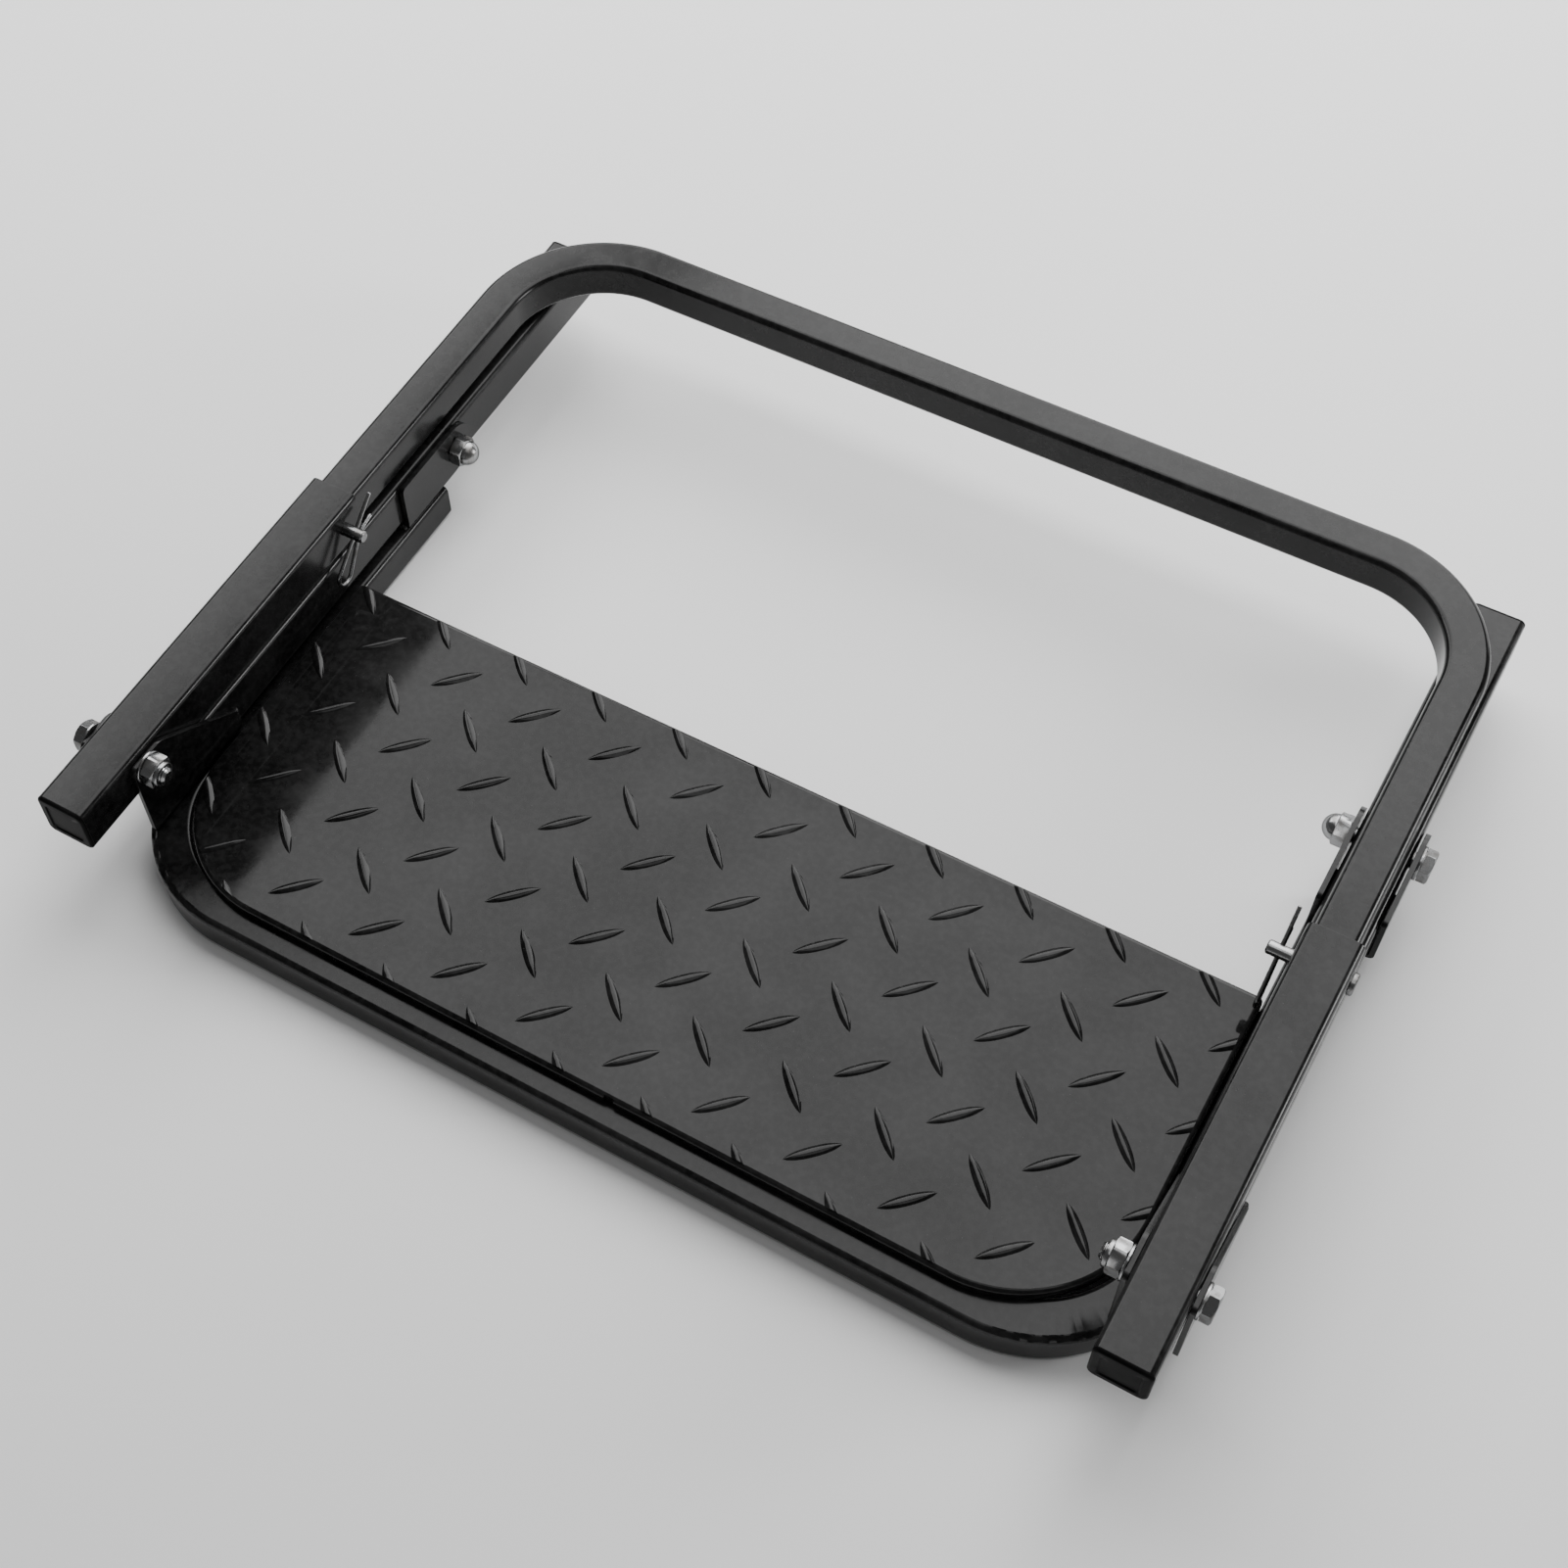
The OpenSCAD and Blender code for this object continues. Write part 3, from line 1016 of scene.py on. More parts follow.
@dataclass(frozen=True)
class SoftBox:
    """A rectangular studio light.

    Attributes:
        name: Its name.
        at: The place of its middle in metres.
        size: Its width and height in metres.
        power: Its power in watts.
        level: Whether it faces straight down, rather than towards the step.
    """

    name: str
    at: tuple[float, float, float]
    size: tuple[float, float]
    power: float
    level: bool

    def hang(self) -> None:
        """Hang the light."""
        lamp = bpy.data.lights.new(self.name, "AREA")
        lamp.shape = "RECTANGLE"
        lamp.size, lamp.size_y = self.size
        lamp.energy = self.power
        holder = bpy.data.objects.new(self.name, lamp)
        bpy.context.scene.collection.objects.link(holder)
        holder.location = self.at
        if not self.level:
            holder.rotation_mode = "QUATERNION"
            holder.rotation_quaternion = Vector(self.at).to_track_quat("Z", "Y")


@dataclass(frozen=True)
class Studio:
    """The floor, the lights and the camera.

    Attributes:
        eye: The camera's place in millimetres.
        right: The direction to the right of the picture.
        down: The direction to the foot of the picture.
        forward: The direction of view.
        film: The width of the camera's picture, in millimetres.
        lens: The length of its lens, in millimetres.
        shift: How far the picture lies off the lens, to the right and up.
        floor_half: Half the width of the floor, in metres.
        floor_tones: The darkest and the brightest grey of the floor.
        horizon: The brightness of the surround at the horizon.
        ceiling: The brightness of the surround overhead.
        dusk: The heights between which the surround darkens, from 0 to 1.
        boxes: The lights. The black strip on the tread mirrors the gap between the left panel
            and its two neighbours.
    """

    eye: tuple[float, float, float] = (353.52, -667.73, 1129.01)
    right: tuple[float, float, float] = (0.86061, 0.50773, -0.0395)
    down: tuple[float, float, float] = (0.40915, -0.73552, -0.54001)
    forward: tuple[float, float, float] = (-0.30323, 0.44858, -0.84073)
    film: float = 36.0
    lens: float = 52.743
    shift: tuple[float, float] = (0.0767, 0.0275)
    floor_half: float = 6.0
    floor_tones: tuple[float, float] = (0.86, 0.9)
    horizon: float = 0.3
    ceiling: float = 0.12
    dusk: tuple[float, float] = (0.08, 0.38)
    boxes: tuple[SoftBox, ...] = (
        SoftBox("overhead", (-0.29, 0.8, 2.0), (1.98, 1.2), 32.0, True),
        SoftBox("back_panel", (-0.29, 3.2, 2.0), (1.98, 3.6), 130.0, True),
        SoftBox("left_panel", (-2.335, 2.6, 2.0), (1.73, 4.8), 140.0, True),
        SoftBox("edge_light", (2.0, 1.1, 0.75), (0.7, 0.7), 24.0, False),
        SoftBox("back_wall", (0.8, 5.4, 1.0), (4.5, 2.0), 80.0, False),
        SoftBox("front_fill", (0.65, -0.35, 2.0), (1.3, 0.7), 4.5, True),
    )

    def set_camera(self) -> None:
        """Place the camera where the photograph was taken from."""
        camera = bpy.data.cameras.new("camera")
        camera.lens = self.lens
        camera.sensor_width = self.film
        camera.shift_x, camera.shift_y = self.shift
        camera.clip_start = 0.01
        holder = bpy.data.objects.new("camera", camera)
        bpy.context.scene.collection.objects.link(holder)
        axes = (Vector(self.right), -Vector(self.down), -Vector(self.forward))
        turn = Matrix(axes).transposed().to_4x4()
        holder.matrix_world = Matrix.Translation(mm(*self.eye)) @ turn
        bpy.context.scene.camera = holder

    def lay_floor(self) -> None:
        """Lay the plain pale floor."""
        corner = Vector((self.floor_half, self.floor_half, 0))
        floor = Workpiece.panel("floor", -corner, corner)
        board = FinishBoard("pale_floor")
        dark, pale = (grey(tone) for tone in self.floor_tones)
        tone = board.blend(board.noise(Grain(3.0, 2.0)), dark, pale)
        floor.obj.data.materials.append(
            board.surface(Base_Color=tone, Roughness=0.85, Specular_IOR_Level=0.2)
        )

    def paint_surround(self) -> None:
        """Give the surround a pale horizon under a dim ceiling."""
        world = bpy.data.worlds.new("studio")
        bpy.context.scene.world = world
        world.use_nodes = True
        board = NodeBoard(world.node_tree)
        place = board.node("ShaderNodeTexCoord")["Generated"]
        height = board.node("ShaderNodeSeparateXYZ", None, {0: place})["Z"]
        low, high = self.dusk
        values = {"Value": height, "From Min": low, "From Max": high}
        values |= {"To Min": self.horizon, "To Max": self.ceiling}
        glow = board.node("ShaderNodeMapRange", SMOOTH_BAND, values)[0]
        colour = {"Color": grey(1.0), "Strength": glow}
        sky = board.node("ShaderNodeBackground", None, colour)[0]
        board.node("ShaderNodeOutputWorld", None, {"Surface": sky})

    def set_up(self) -> None:
        """Place the camera, the floor and the lights."""
        self.set_camera()
        self.lay_floor()
        self.paint_surround()
        for box in self.boxes:
            box.hang()


@dataclass(frozen=True)
class Fasteners:
    """Bolts, nuts and washers.

    Attributes:
        thread: The bolts' diameter.
        play: How much larger the radius of a bolt's hole is.
        flats: The width of a hexagon across its flats.
        chamfer: How far in a hexagon's chamfer begins, from the flats.
        head: The height of a bolt's head.
        nut: The height of a nut's hexagon.
        root: How deep a collar or dome reaches into its nut.
        pitch: The distance between two threads.
        depth: The depth of a thread.
        turns: The number of a bolt's threads.
        tip: The chamfer of a bolt's tip.
        collar: The height of the round collar under a bolt's head.
        dome: The radius of a domed nut's dome.
        washer: The diameter of a washer.
        thick: The thickness of a washer.
    """

    thread: float = 10.0
    play: float = 0.05
    flats: float = 17.0
    chamfer: float = 0.25
    head: float = 6.4
    nut: float = 8.0
    root: float = 1.5
    pitch: float = 1.5
    depth: float = 0.55
    turns: int = 11
    tip: float = 0.9
    collar: float = 0.4
    dome: float = 7.8
    washer: float = 20.0
    thick: float = 1.5

    @property
    def hole(self) -> float:
        """The radius of a bolt's hole."""
        return self.thread / 2 + self.play

    def hexagon(self, name: str, low: float, high: float, both: bool) -> Workpiece:
        """A hexagonal bar about Z with chamfered corners.

        Args:
            name: The piece's name.
            low: Its lower end in millimetres.
            high: Its upper end, which is chamfered.
            both: Whether the lower end is chamfered too.

        Returns:
            The bar.
        """
        half = self.flats / 2 / math.cos(math.radians(30))
        flat = self.flats / 2 - self.chamfer
        wide = flat + math.sqrt(3.0) * (high - low)
        bar = Workpiece.drawn(name, Outline.HEX, [(half, low), (half, high)])
        cones = [[(wide, low), (flat, high)], [(flat, low), (wide, high)]]
        for cone in cones if both else cones[:1]:
            bar.combine(Workpiece.drawn("cone", Outline.ROUND, cone, sides=60), "INTERSECT")
        return bar

    def bolt(self, name: str, seat: Vector, out: Vector, reach: float) -> Workpiece:
        """A hexagon bolt with a threaded end.

        Args:
            name: The piece's name.
            seat: The middle of the head's underside.
            out: The direction from the shank to the head.
            reach: The length under the head, in metres.

        Returns:
            The bolt.
        """
        core, crest = self.thread / 2 - self.depth, self.thread / 2
        foot, top = -reach / MM, 1.0
        height = foot + self.tip
        rings = [(core - self.tip, foot), (core, height)]
        for _ in range(self.turns):
            thread = ((crest, 0.3), (crest, 0.5), (core, 0.8), (core, 1.0))
            rings += [(half, height + share * self.pitch) for half, share in thread]
            height += self.pitch
        rings += [(crest, height + 0.4 * self.pitch), (crest, top)]
        head = self.hexagon(name, self.collar, self.head, both=False).soften(0.2, 25.0)
        inset = self.flats / 2 - 0.6
        collar = Workpiece.drawn("collar", Outline.ROUND, [(inset, 0.0), (inset, top)])
        shank = Workpiece.drawn("shank", Outline.ROUND, rings, sides=BORE_SIDES)
        return head.join([collar, shank]).aim(seat, out)

    def capped_nut(
        self, name: str, rings: Sequence[tuple[float, float]], edge: float
    ) -> Workpiece:
        """A hexagon nut with a round form on top.

        Args:
            name: The piece's name.
            rings: The rings of the round form.
            edge: The width of its broken edges.

        Returns:
            The nut about the Z axis.
        """
        nut = self.hexagon(name, 0.0, self.nut, both=True)
        nut.combine(Workpiece.drawn("crown", Outline.ROUND, rings), "UNION")
        return nut.soften(edge, 28.0)

    def domed_nut(self, name: str, seat: Vector, out: Vector) -> Workpiece:
        """A nut closed by a dome.

        Args:
            name: The piece's name.
            seat: The middle of its seat.
            out: The direction from the seat to the dome.

        Returns:
            The nut.
        """
        steps, first, sweep = 14, 2, 87
        dome = [(self.dome, self.nut - self.root)]
        for step in range(steps + 1):
            turn = math.radians(first + sweep * step / steps)
            rise = self.nut - 0.3 + self.dome * math.sin(turn)
            dome.append((self.dome * math.cos(turn), rise))
        return self.capped_nut(name, dome, 0.25).aim(seat, out)

    def lock_nut(self, name: str, seat: Vector, out: Vector) -> Workpiece:
        """A nut with a rounded collar.

        Args:
            name: The piece's name.
            seat: The middle of its seat.
            out: The direction from the seat to the collar.

        Returns:
            The nut.
        """
        half = 0.75 * self.thread
        top = self.nut + 0.25 * self.thread
        collar = [(half, self.nut - self.root), (half, top - 1.0), (half - 0.3, top - 0.35)]
        collar += [(half - 1.0, top), (5.6, top), (5.3, top - 0.5), (self.hole, top - 0.5)]
        return self.capped_nut(name, collar, 0.2).aim(seat, out)

    def washer_ring(self, name: str, seat: Vector, out: Vector) -> Workpiece:
        """A flat washer.

        Args:
            name: The piece's name.
            seat: The middle of its inner face.
            out: The direction in which it stands.

        Returns:
            The washer.
        """
        half, thick = self.washer / 2, self.thick
        rings = [(half - 0.2, 0.0), (half, 0.25), (half, thick - 0.3), (half - 0.3, thick)]
        ring = Workpiece.drawn(name, Outline.ROUND, rings, sides=56).aim(seat, out)
        return ring.bore(seat, out, self.hole, reach=4.0)


@dataclass(frozen=True)
class WeldSeams:
    """Painted weld beads.

    Attributes:
        size: The radius of a bead.
        step: The distance between two ripples.
        end: The share of the radius at a bead's ends.
        valley: The share of the radius between two ripples.
        sway: How much the ripples differ, and the turn from one to the next.
    """

    size: float = 2.2
    step: float = 2.1
    end: float = 0.5
    valley: float = 0.84
    sway: tuple[float, float] = (0.07, 2.4)

    def bead(self, name: str, start: Vector, end: Vector) -> Workpiece:
        """A rippled bead along a level or upright line.

        Args:
            name: The piece's name.
            start: Its first end.
            end: Its last end.

        Returns:
            The bead.
        """
        length = (end - start).length / MM
        count = max(2, round(length / self.step))
        pitch = length / count
        sway, turn = self.sway
        rings = [(self.size * self.end, 0.0)]
        for ripple in range(count):
            low = ripple * pitch
            crest = self.size * (1.0 + sway * math.sin(ripple * turn))
            rings += [(crest, low + 0.35 * pitch), (crest, low + 0.7 * pitch)]
            rings += [(self.size * self.valley, low + 0.97 * pitch)]
        rings += [(self.size * self.end, length + 0.2)]
        bead = Workpiece.drawn(name, Outline.ROUND, rings, sides=14)
        return bead.aim(start, (end - start).normalized())


@dataclass(frozen=True)
class EndCap:
    """A moulded cap on the end of a square tube.

    Attributes:
        plug_depth: How far it reaches into the tube.
        corner: The radius of its corners.
        edge: The rounding of its edge.
        dish: The depth of its dished face.
    """

    plug_depth: float = 12.0
    corner: float = 3.0
    edge: float = 1.7
    dish: float = 0.7

    def mould(self, node: str, facing: Vector, plug_half: float) -> Workpiece:
        """Mould a cap.

        Args:
            node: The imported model's node that it stands for.
            facing: The way its face looks, along Y.
            plug_half: Half the side of the plug.

        Returns:
            The cap.
        """
        low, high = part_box(node)
        centre = (low + high) / 2
        half = (high.z - low.z) / 2 / MM
        face_y = high.y if facing.y > 0 else low.y
        flange = (high.y - low.y) / MM - self.plug_depth
        foot = -flange - self.plug_depth
        rings = [(plug_half - 0.6, foot), (plug_half, foot + 1), (plug_half, -flange)]
        rings += [(half - 0.1, -flange), (half, -flange + 0.1)]
        for degrees in range(0, 91, 18):
            turn = math.radians(degrees)
            inset, depth = self.edge * (1 - math.cos(turn)), self.edge * (1 - math.sin(turn))
            rings.append((half - inset, -depth))
        rings += [(half - 4.5, 0.0), (half - 5.4, -self.dish), (half - 9.0, -self.dish)]
        cap = Workpiece.drawn(node, Outline.SQUARE, rings, corner=self.corner)
        return cap.aim(Vector((centre.x, face_y, centre.z)), facing)


@dataclass(frozen=True)
class SubAssembly:
    """A body of the step, with what its pieces are made and dressed with.

    Attributes:
        finishes: The material of each slot.
        body: The body that the pieces ride on.
        fasteners: The maker of bolts, nuts and washers.
        welds: The maker of weld beads.
        cap: The maker of end caps.
        lock: The Y and Z of the lock pins.
        arm_hinge: The Y and Z of the arm hinge.
        step_hinge: The Y and Z of the step hinge.
    """

    finishes: dict[Slot, bpy.types.Material]
    body: ClassVar[Body]
    fasteners: ClassVar[Fasteners] = Fasteners()
    welds: ClassVar[WeldSeams] = WeldSeams()
    cap: ClassVar[EndCap] = EndCap()
    lock: ClassVar[tuple[float, float]] = (-16.75, 77.25)
    arm_hinge: ClassVar[tuple[float, float]] = (-213.75, 80.5)
    step_hinge: ClassVar[tuple[float, float]] = (91.75, 45.0)

    def hand_over(self, piece: Workpiece, slot: Slot, *nodes: str) -> None:
        """Give a piece its finish and its body.

        Args:
            piece: The finished piece.
            slot: The record's slot for its finish.
            *nodes: The nodes that it replaces.
        """
        piece.obj.data.materials.clear()
        piece.obj.data.materials.append(self.finishes[slot])
        if nodes:
            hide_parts(*nodes)
        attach(piece.obj, self.body.value)
        faces = sum(len(f.vertices) - 2 for f in piece.obj.data.polygons)
        LOG.info("%s: %d triangles on %s", piece.name, faces, self.body.value)


@dataclass(frozen=True)
class Deck(SubAssembly):
    """The root: the rim, the tread sheet, the hinge channels and the step hinge's fasteners.

    Attributes:
        rim: The tube of the rim.
        cross: The tube under the tread's rear edge.
        dent: The depth of the dents in the rim's bends.
        dent_band: How far in the dents begin and end, from the bend's outer edge.
        dent_arc: The part of the bend that has dents, in degrees.
        dent_step: A quarter of the way from dent to dent, in degrees.
        edge: The width of the broken edges of the sheet and the channels.
        sheet: The thickness of the tread sheet.
        lip: The height of the tread above the rim.
        sheet_corner: The radius of the tread's front corners.
        sheet_steps: The number of segments of these corners.
        fold: The outside radius of the tread's folded edge.
        fold_steps: The number of segments of an upright and of a level fold.
        bar_size: The length, width and height of a raised bar.
        bar_grid: The number of a bar's cells along it and across it.
        bar_rows: The share of its height that each row of points has, from the middle out.
        bar_taper: The powers that shape its outline.
        bar_swell: How much its height stays ahead of its width towards its ends.
        bar_sink: How deep its foot goes into the sheet.
        bar_pitch: The distance between two bars of a row.
        bar_columns: The first column of bars, and the one after the last.
        bar_lines: The first row of bars, and the one after the last.
        bar_reach: How far off the tread the middle of a bar may lie.
        bar_shift: How far the rows lie to the right of the middle.
        bar_rear: The distance from the tread's rear edge to the first row.
        bar_margin: The plain margin round the bars.
        bar_turn: The turn from one cut round the tread's corners to the next, in degrees.
        notch: The place, width and depth of the notch in the front lip.
        plate: The thickness of a hinge channel.
        channel_fold: The outside radius of a channel's folds.
        channel_foot: How high the channel's end is cut away over its base.
        channel_nose: The radius of the ears' front corners.
        ear_round: The radius of a channel's eye.
        ear_steps: The number of segments round the eye.
        side_weld: How far the side weld lies off the rim and below the channel, and how far its
            ends lie from the channel's front and the rim's end.
        front_weld: How far the front weld lies ahead of the channel and above its base, and how
            far its ends lie from the channel's inner and the rim's outer side.
        gap: The gap between the leg and the channel's base.
        leg_half: Half the side of the leg tube.
    """

    body: ClassVar[Body] = Body.DECK
    rim: TubeStock = TubeStock(25.0, 2.0, 0.4)
    cross: TubeStock = TubeStock(20.0, 1.5, 0.3)
    dent: float = 1.2
    dent_band: tuple[float, float] = (0.6, 3.72)
    dent_arc: tuple[float, float] = (12.0, 78.0)
    dent_step: float = 2.5
    edge: float = 0.35
    sheet: float = 3.0
    lip: float = 8.0
    sheet_corner: float = 77.5
    sheet_steps: int = 28
    fold: float = 3.2
    fold_steps: tuple[int, int] = (4, 5)
    bar_size: tuple[float, float, float] = (33.0, 6.5, 1.2)
    bar_grid: tuple[int, int] = (14, 8)
    bar_rows: tuple[float, ...] = (1.0, 0.97, 0.72, 0.36, -0.08)
    bar_taper: tuple[float, float] = (2.4, 0.8)
    bar_swell: float = 1.3
    bar_sink: float = 0.4
    bar_pitch: float = 55.0
    bar_columns: tuple[int, int] = (-7, 8)
    bar_lines: tuple[int, int] = (-6, 2)
    bar_reach: float = 14.0
    bar_shift: float = -10.0
    bar_rear: float = 61.0
    bar_margin: float = 2.6
    bar_turn: int = 9
    notch: tuple[float, float, float] = (19.0, 6.0, 1.5)
    plate: float = 3.0
    channel_fold: float = 3.6
    channel_foot: float = 8.0
    channel_nose: float = 3.0
    ear_round: float = 16.5
    ear_steps: int = 14
    side_weld: tuple[float, float, float, float] = (0.2, 1.3, 3.0, 4.0)
    front_weld: tuple[float, float, float, float] = (0.4, 0.9, 2.0, 4.0)
    gap: float = 0.5
    leg_half: float = 16.0

    def build(self) -> None:
        """Make every piece of the deck."""
        self.make_rim()
        self.make_tread()
        cross = self.cross.cut("cross_tube", "deck_cross_tube", X_AXIS)
        self.hand_over(cross.soften(self.cross.edge).smooth(), Slot.TUBE, "deck_cross_tube")
        for side in Side:
            self.make_rim_plug(side)
            self.make_channel(side)
            self.weld_channel(side)
            self.make_hinge_bolt(side)

    def make_rim(self) -> None:
        """Bend the rim from one square tube, with the dents of its two bends."""
        low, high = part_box("deck_rim")
        bend = self.rim.bend * MM
        rim = self.rim.bow("rim_tube", "deck_rim", -Y_AXIS, 90)
        for side in Side:
            self.dent_bend(rim, Vector((side.value * (high.x - bend), low.y + bend, 0)))
        rim.thicken(self.rim.wall)
        self.hand_over(rim.soften(self.rim.edge).smooth(), Slot.TUBE, "deck_rim")

    def dent_bend(self, rim: Workpiece, middle: Vector) -> None:
        """Press shallow dents into the outer top corner of a bend.

        Args:
            rim: The rim, still without its wall.
            middle: The middle of the bend, on the floor.
        """
        outer = self.rim.bend * MM
        begin, end = (inset * MM for inset in self.dent_band)

        def in_dent(point: Vector) -> bool:
            """Whether a point lies in a dent.

            Args:
                point: The point.

            Returns:
                True on the bend's outer top corner, for two steps of the turn out of four.
            """
            arm = (point - middle).xy
            beyond = point.x * middle.x > middle.x**2 and point.y < middle.y
            if not (beyond and outer - end < arm.length < outer - begin and point.z > end):
                return False
            turn = math.degrees(math.atan2(abs(arm.x), abs(arm.y)))
            first, last = self.dent_arc
            return first < turn < last and round(turn / self.dent_step) % 4 < 2

        rim.edit(Pick.POINT, in_dent, bpy.ops.transform.shrink_fatten, value=-self.dent * MM)

    def make_tread(self) -> None:
        """Fold the tread sheet, and raise its bars."""
        low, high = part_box("deck_plate")
        brink = self.rim.side * MM
        top = brink + self.lip * MM
        flange_y = low.y + self.sheet_corner * MM

        def at_flange(start: Vector, end: Vector) -> bool:
            """Whether an edge is the foot of the lip at the sides or the rear."""
            level = max(start.z, end.z) < brink + TOUCH
            return level and min(start.y, end.y) > flange_y - TOUCH

        def at_rear_corner(start: Vector, end: Vector) -> bool:
            """Whether an edge stands upright at the sheet's rear."""
            return (start - end).xy.length < TOUCH and start.y > high.y - TOUCH

        sheet = Workpiece.panel(
            "tread_sheet", Vector((low.x, low.y, top)), Vector((high.x, high.y, top))
        )
        sheet.round_points(
            lambda p: p.y < low.y + TOUCH, self.sheet_corner * MM, self.sheet_steps
        )
        sheet.draw_edges(anything, mm(0, 0, -self.lip))
        sheet.draw_edges(at_flange, Vector((0, 0, low.z - brink)))
        sheet.face_towards(lambda c, n: c.z > top - TOUCH, Z_AXIS)
        upright, level = self.fold_steps
        sheet.round_edges(at_rear_corner, self.fold * MM, upright)
        sheet.round_edges(lambda a, b: min(a.z, b.z) > top - TOUCH, self.fold * MM, level)
        sheet.thicken(self.sheet)
        place, width, depth = self.notch
        first = Vector(((place - width / 2) * MM, low.y - MM, brink - MM))
        last = Vector(((place + width / 2) * MM, low.y + depth * MM, top + MM))
        sheet.combine(Workpiece.block("notch", first, last))
        sheet.soften(self.edge)
        sheet.join([self.make_bars(low, high, top)]).smooth(30)
        self.hand_over(sheet, Slot.TREAD, "deck_plate")

    def bar_half(self, x: float) -> float:
        """Half the width of a raised bar at a place along it.

        Args:
            x: The distance from its middle.

        Returns:
            The half width in metres.
        """
        length, width, _ = self.bar_size
        swell, waist = self.bar_taper
        along = min(abs(2 * x / (length * MM)), 1.0)
        return width * MM / 2 * max((1.0 - along**swell) ** waist, 0.02)

    def make_bar(self) -> Workpiece:
        """Model one raised bar: a lens with rounded flanks.

        Returns:
            The bar, lying along X at the origin.
        """
        length, width, height = (v * MM for v in self.bar_size)
        columns, rows = self.bar_grid
        drop_selection()
        bpy.ops.mesh.primitive_grid_add(x_subdivisions=columns, y_subdivisions=rows, size=1.0)
        bar = Workpiece.fresh("raised_bar", (length, width, 1))
        for row, share in enumerate(self.bar_rows):
            bar.edit(
                Pick.POINT,
                lambda p, y=row * width / rows: abs(abs(p.y) - y) < TOUCH,
                bpy.ops.transform.translate,
                value=(0, 0, share * height),
            )
        for column in range(columns + 1):
            x = length * (column / columns - 0.5)
            slim = self.bar_half(x) * 2 / width
            rise = max(0.02, min(1.0, slim * self.bar_swell))
            bar.edit(
                Pick.POINT,
                lambda p, x=x: abs(p.x - x) < TOUCH,
                bpy.ops.transform.resize,
                value=(1, slim, rise),
                center_override=(x, 0, self.bar_rows[-1] * height),
            )

        def at_foot(start: Vector, end: Vector) -> bool:
            """Whether an edge lies along the bar's outline."""
            low = max(start.z, end.z) < TOUCH
            return low and all(abs(p.y) >= self.bar_half(p.x) - TOUCH for p in (start, end))

        bar.draw_edges(at_foot, mm(0, 0, -self.bar_sink))
        return bar.fill().face_out()

    def make_bars(self, low: Vector, high: Vector, top: float) -> Workpiece:
        """Set raised bars all over the tread, and trim them at its edge.

        Args:
            low: The tread's lowest corner.
            high: The tread's highest corner.
            top: The height of the tread's face.

        Returns:
            The bars as one piece.
        """
        first = self.make_bar()
        pitch = self.bar_pitch * MM
        reach = self.bar_reach * MM
        copies = []
        origin = Vector((self.bar_shift * MM, high.y - self.bar_rear * MM, top))
        for column in range(*self.bar_columns):
            for row in range(*self.bar_lines):
                corner = origin + Vector((column * pitch, row * pitch, 0))
                for turn, step in ((-45, 0.0), (45, pitch / 2)):
                    place = corner + Vector((step, step, 0))
                    inside = low.x - reach < place.x < high.x + reach
                    if inside and low.y - reach < place.y < high.y + reach:
                        turned = Matrix.Rotation(math.radians(turn), 4, "Z")
                        spot = Matrix.Translation(place) @ turned
                        copies.append(first.copied("raised_bar_copy", spot))
        bars = copies[0].join(copies[1:]).settle()
        bpy.data.objects.remove(first.obj)
        margin = Vector((self.bar_margin, self.bar_margin, 0)) * MM
        for axis in (X_AXIS, Y_AXIS):
            bars.trim(low + margin, -axis)
            bars.trim(high - margin, axis)
        corner = self.sheet_corner * MM
        radius = corner - self.bar_margin * MM
        middle = (low + high) / 2
        for side in Side:
            hub_x = middle.x + side.value * (high.x - middle.x - corner)
            hub = Vector((hub_x, low.y + corner, 0))
            for degrees in range(self.bar_turn, 90, self.bar_turn):
                turn = math.radians(degrees)
                away = Vector((side.value * math.sin(turn), -math.cos(turn), 0))
                bars.trim(hub + away * radius, away)
        return bars

    def make_rim_plug(self, side: Side) -> None:
        """Set a plastic plug in the rim's end.

        Args:
            side: The side of the step.
        """
        node = f"rim_plug_{side.label}"
        low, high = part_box(node)
        half = (high.z - low.z) / 2 / MM
        foot = -(high.y - low.y) / MM
        rings = [(half - 0.5, foot), (half, foot + 0.6), (half, -0.5), (half - 0.5, 0.0)]
        rings += [(half - 2.0, 0.0), (half - 2.6, -1.2)]
        plug = Workpiece.drawn(node, Outline.SQUARE, rings, corner=2.0)
        centre = (low + high) / 2
        plug.aim(Vector((centre.x, high.y, centre.z)), Y_AXIS)
        self.hand_over(plug.smooth(), Slot.CAP, node)

    def make_channel(self, side: Side) -> None:
        """Fold a hinge channel and cut its ears.

        Args:
            side: The side of the step.
        """
        node = f"hinge_bracket_{side.label}"
        low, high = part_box(node)
        hinge_y, hinge_z = (v * MM for v in self.step_hinge)
        channel = Workpiece.panel(node, low, high)

        def along_y(start: Vector, end: Vector) -> bool:
            """Whether an edge of the base runs along the channel."""
            return abs(start.x - end.x) < TOUCH and max(start.z, end.z) < low.z + TOUCH

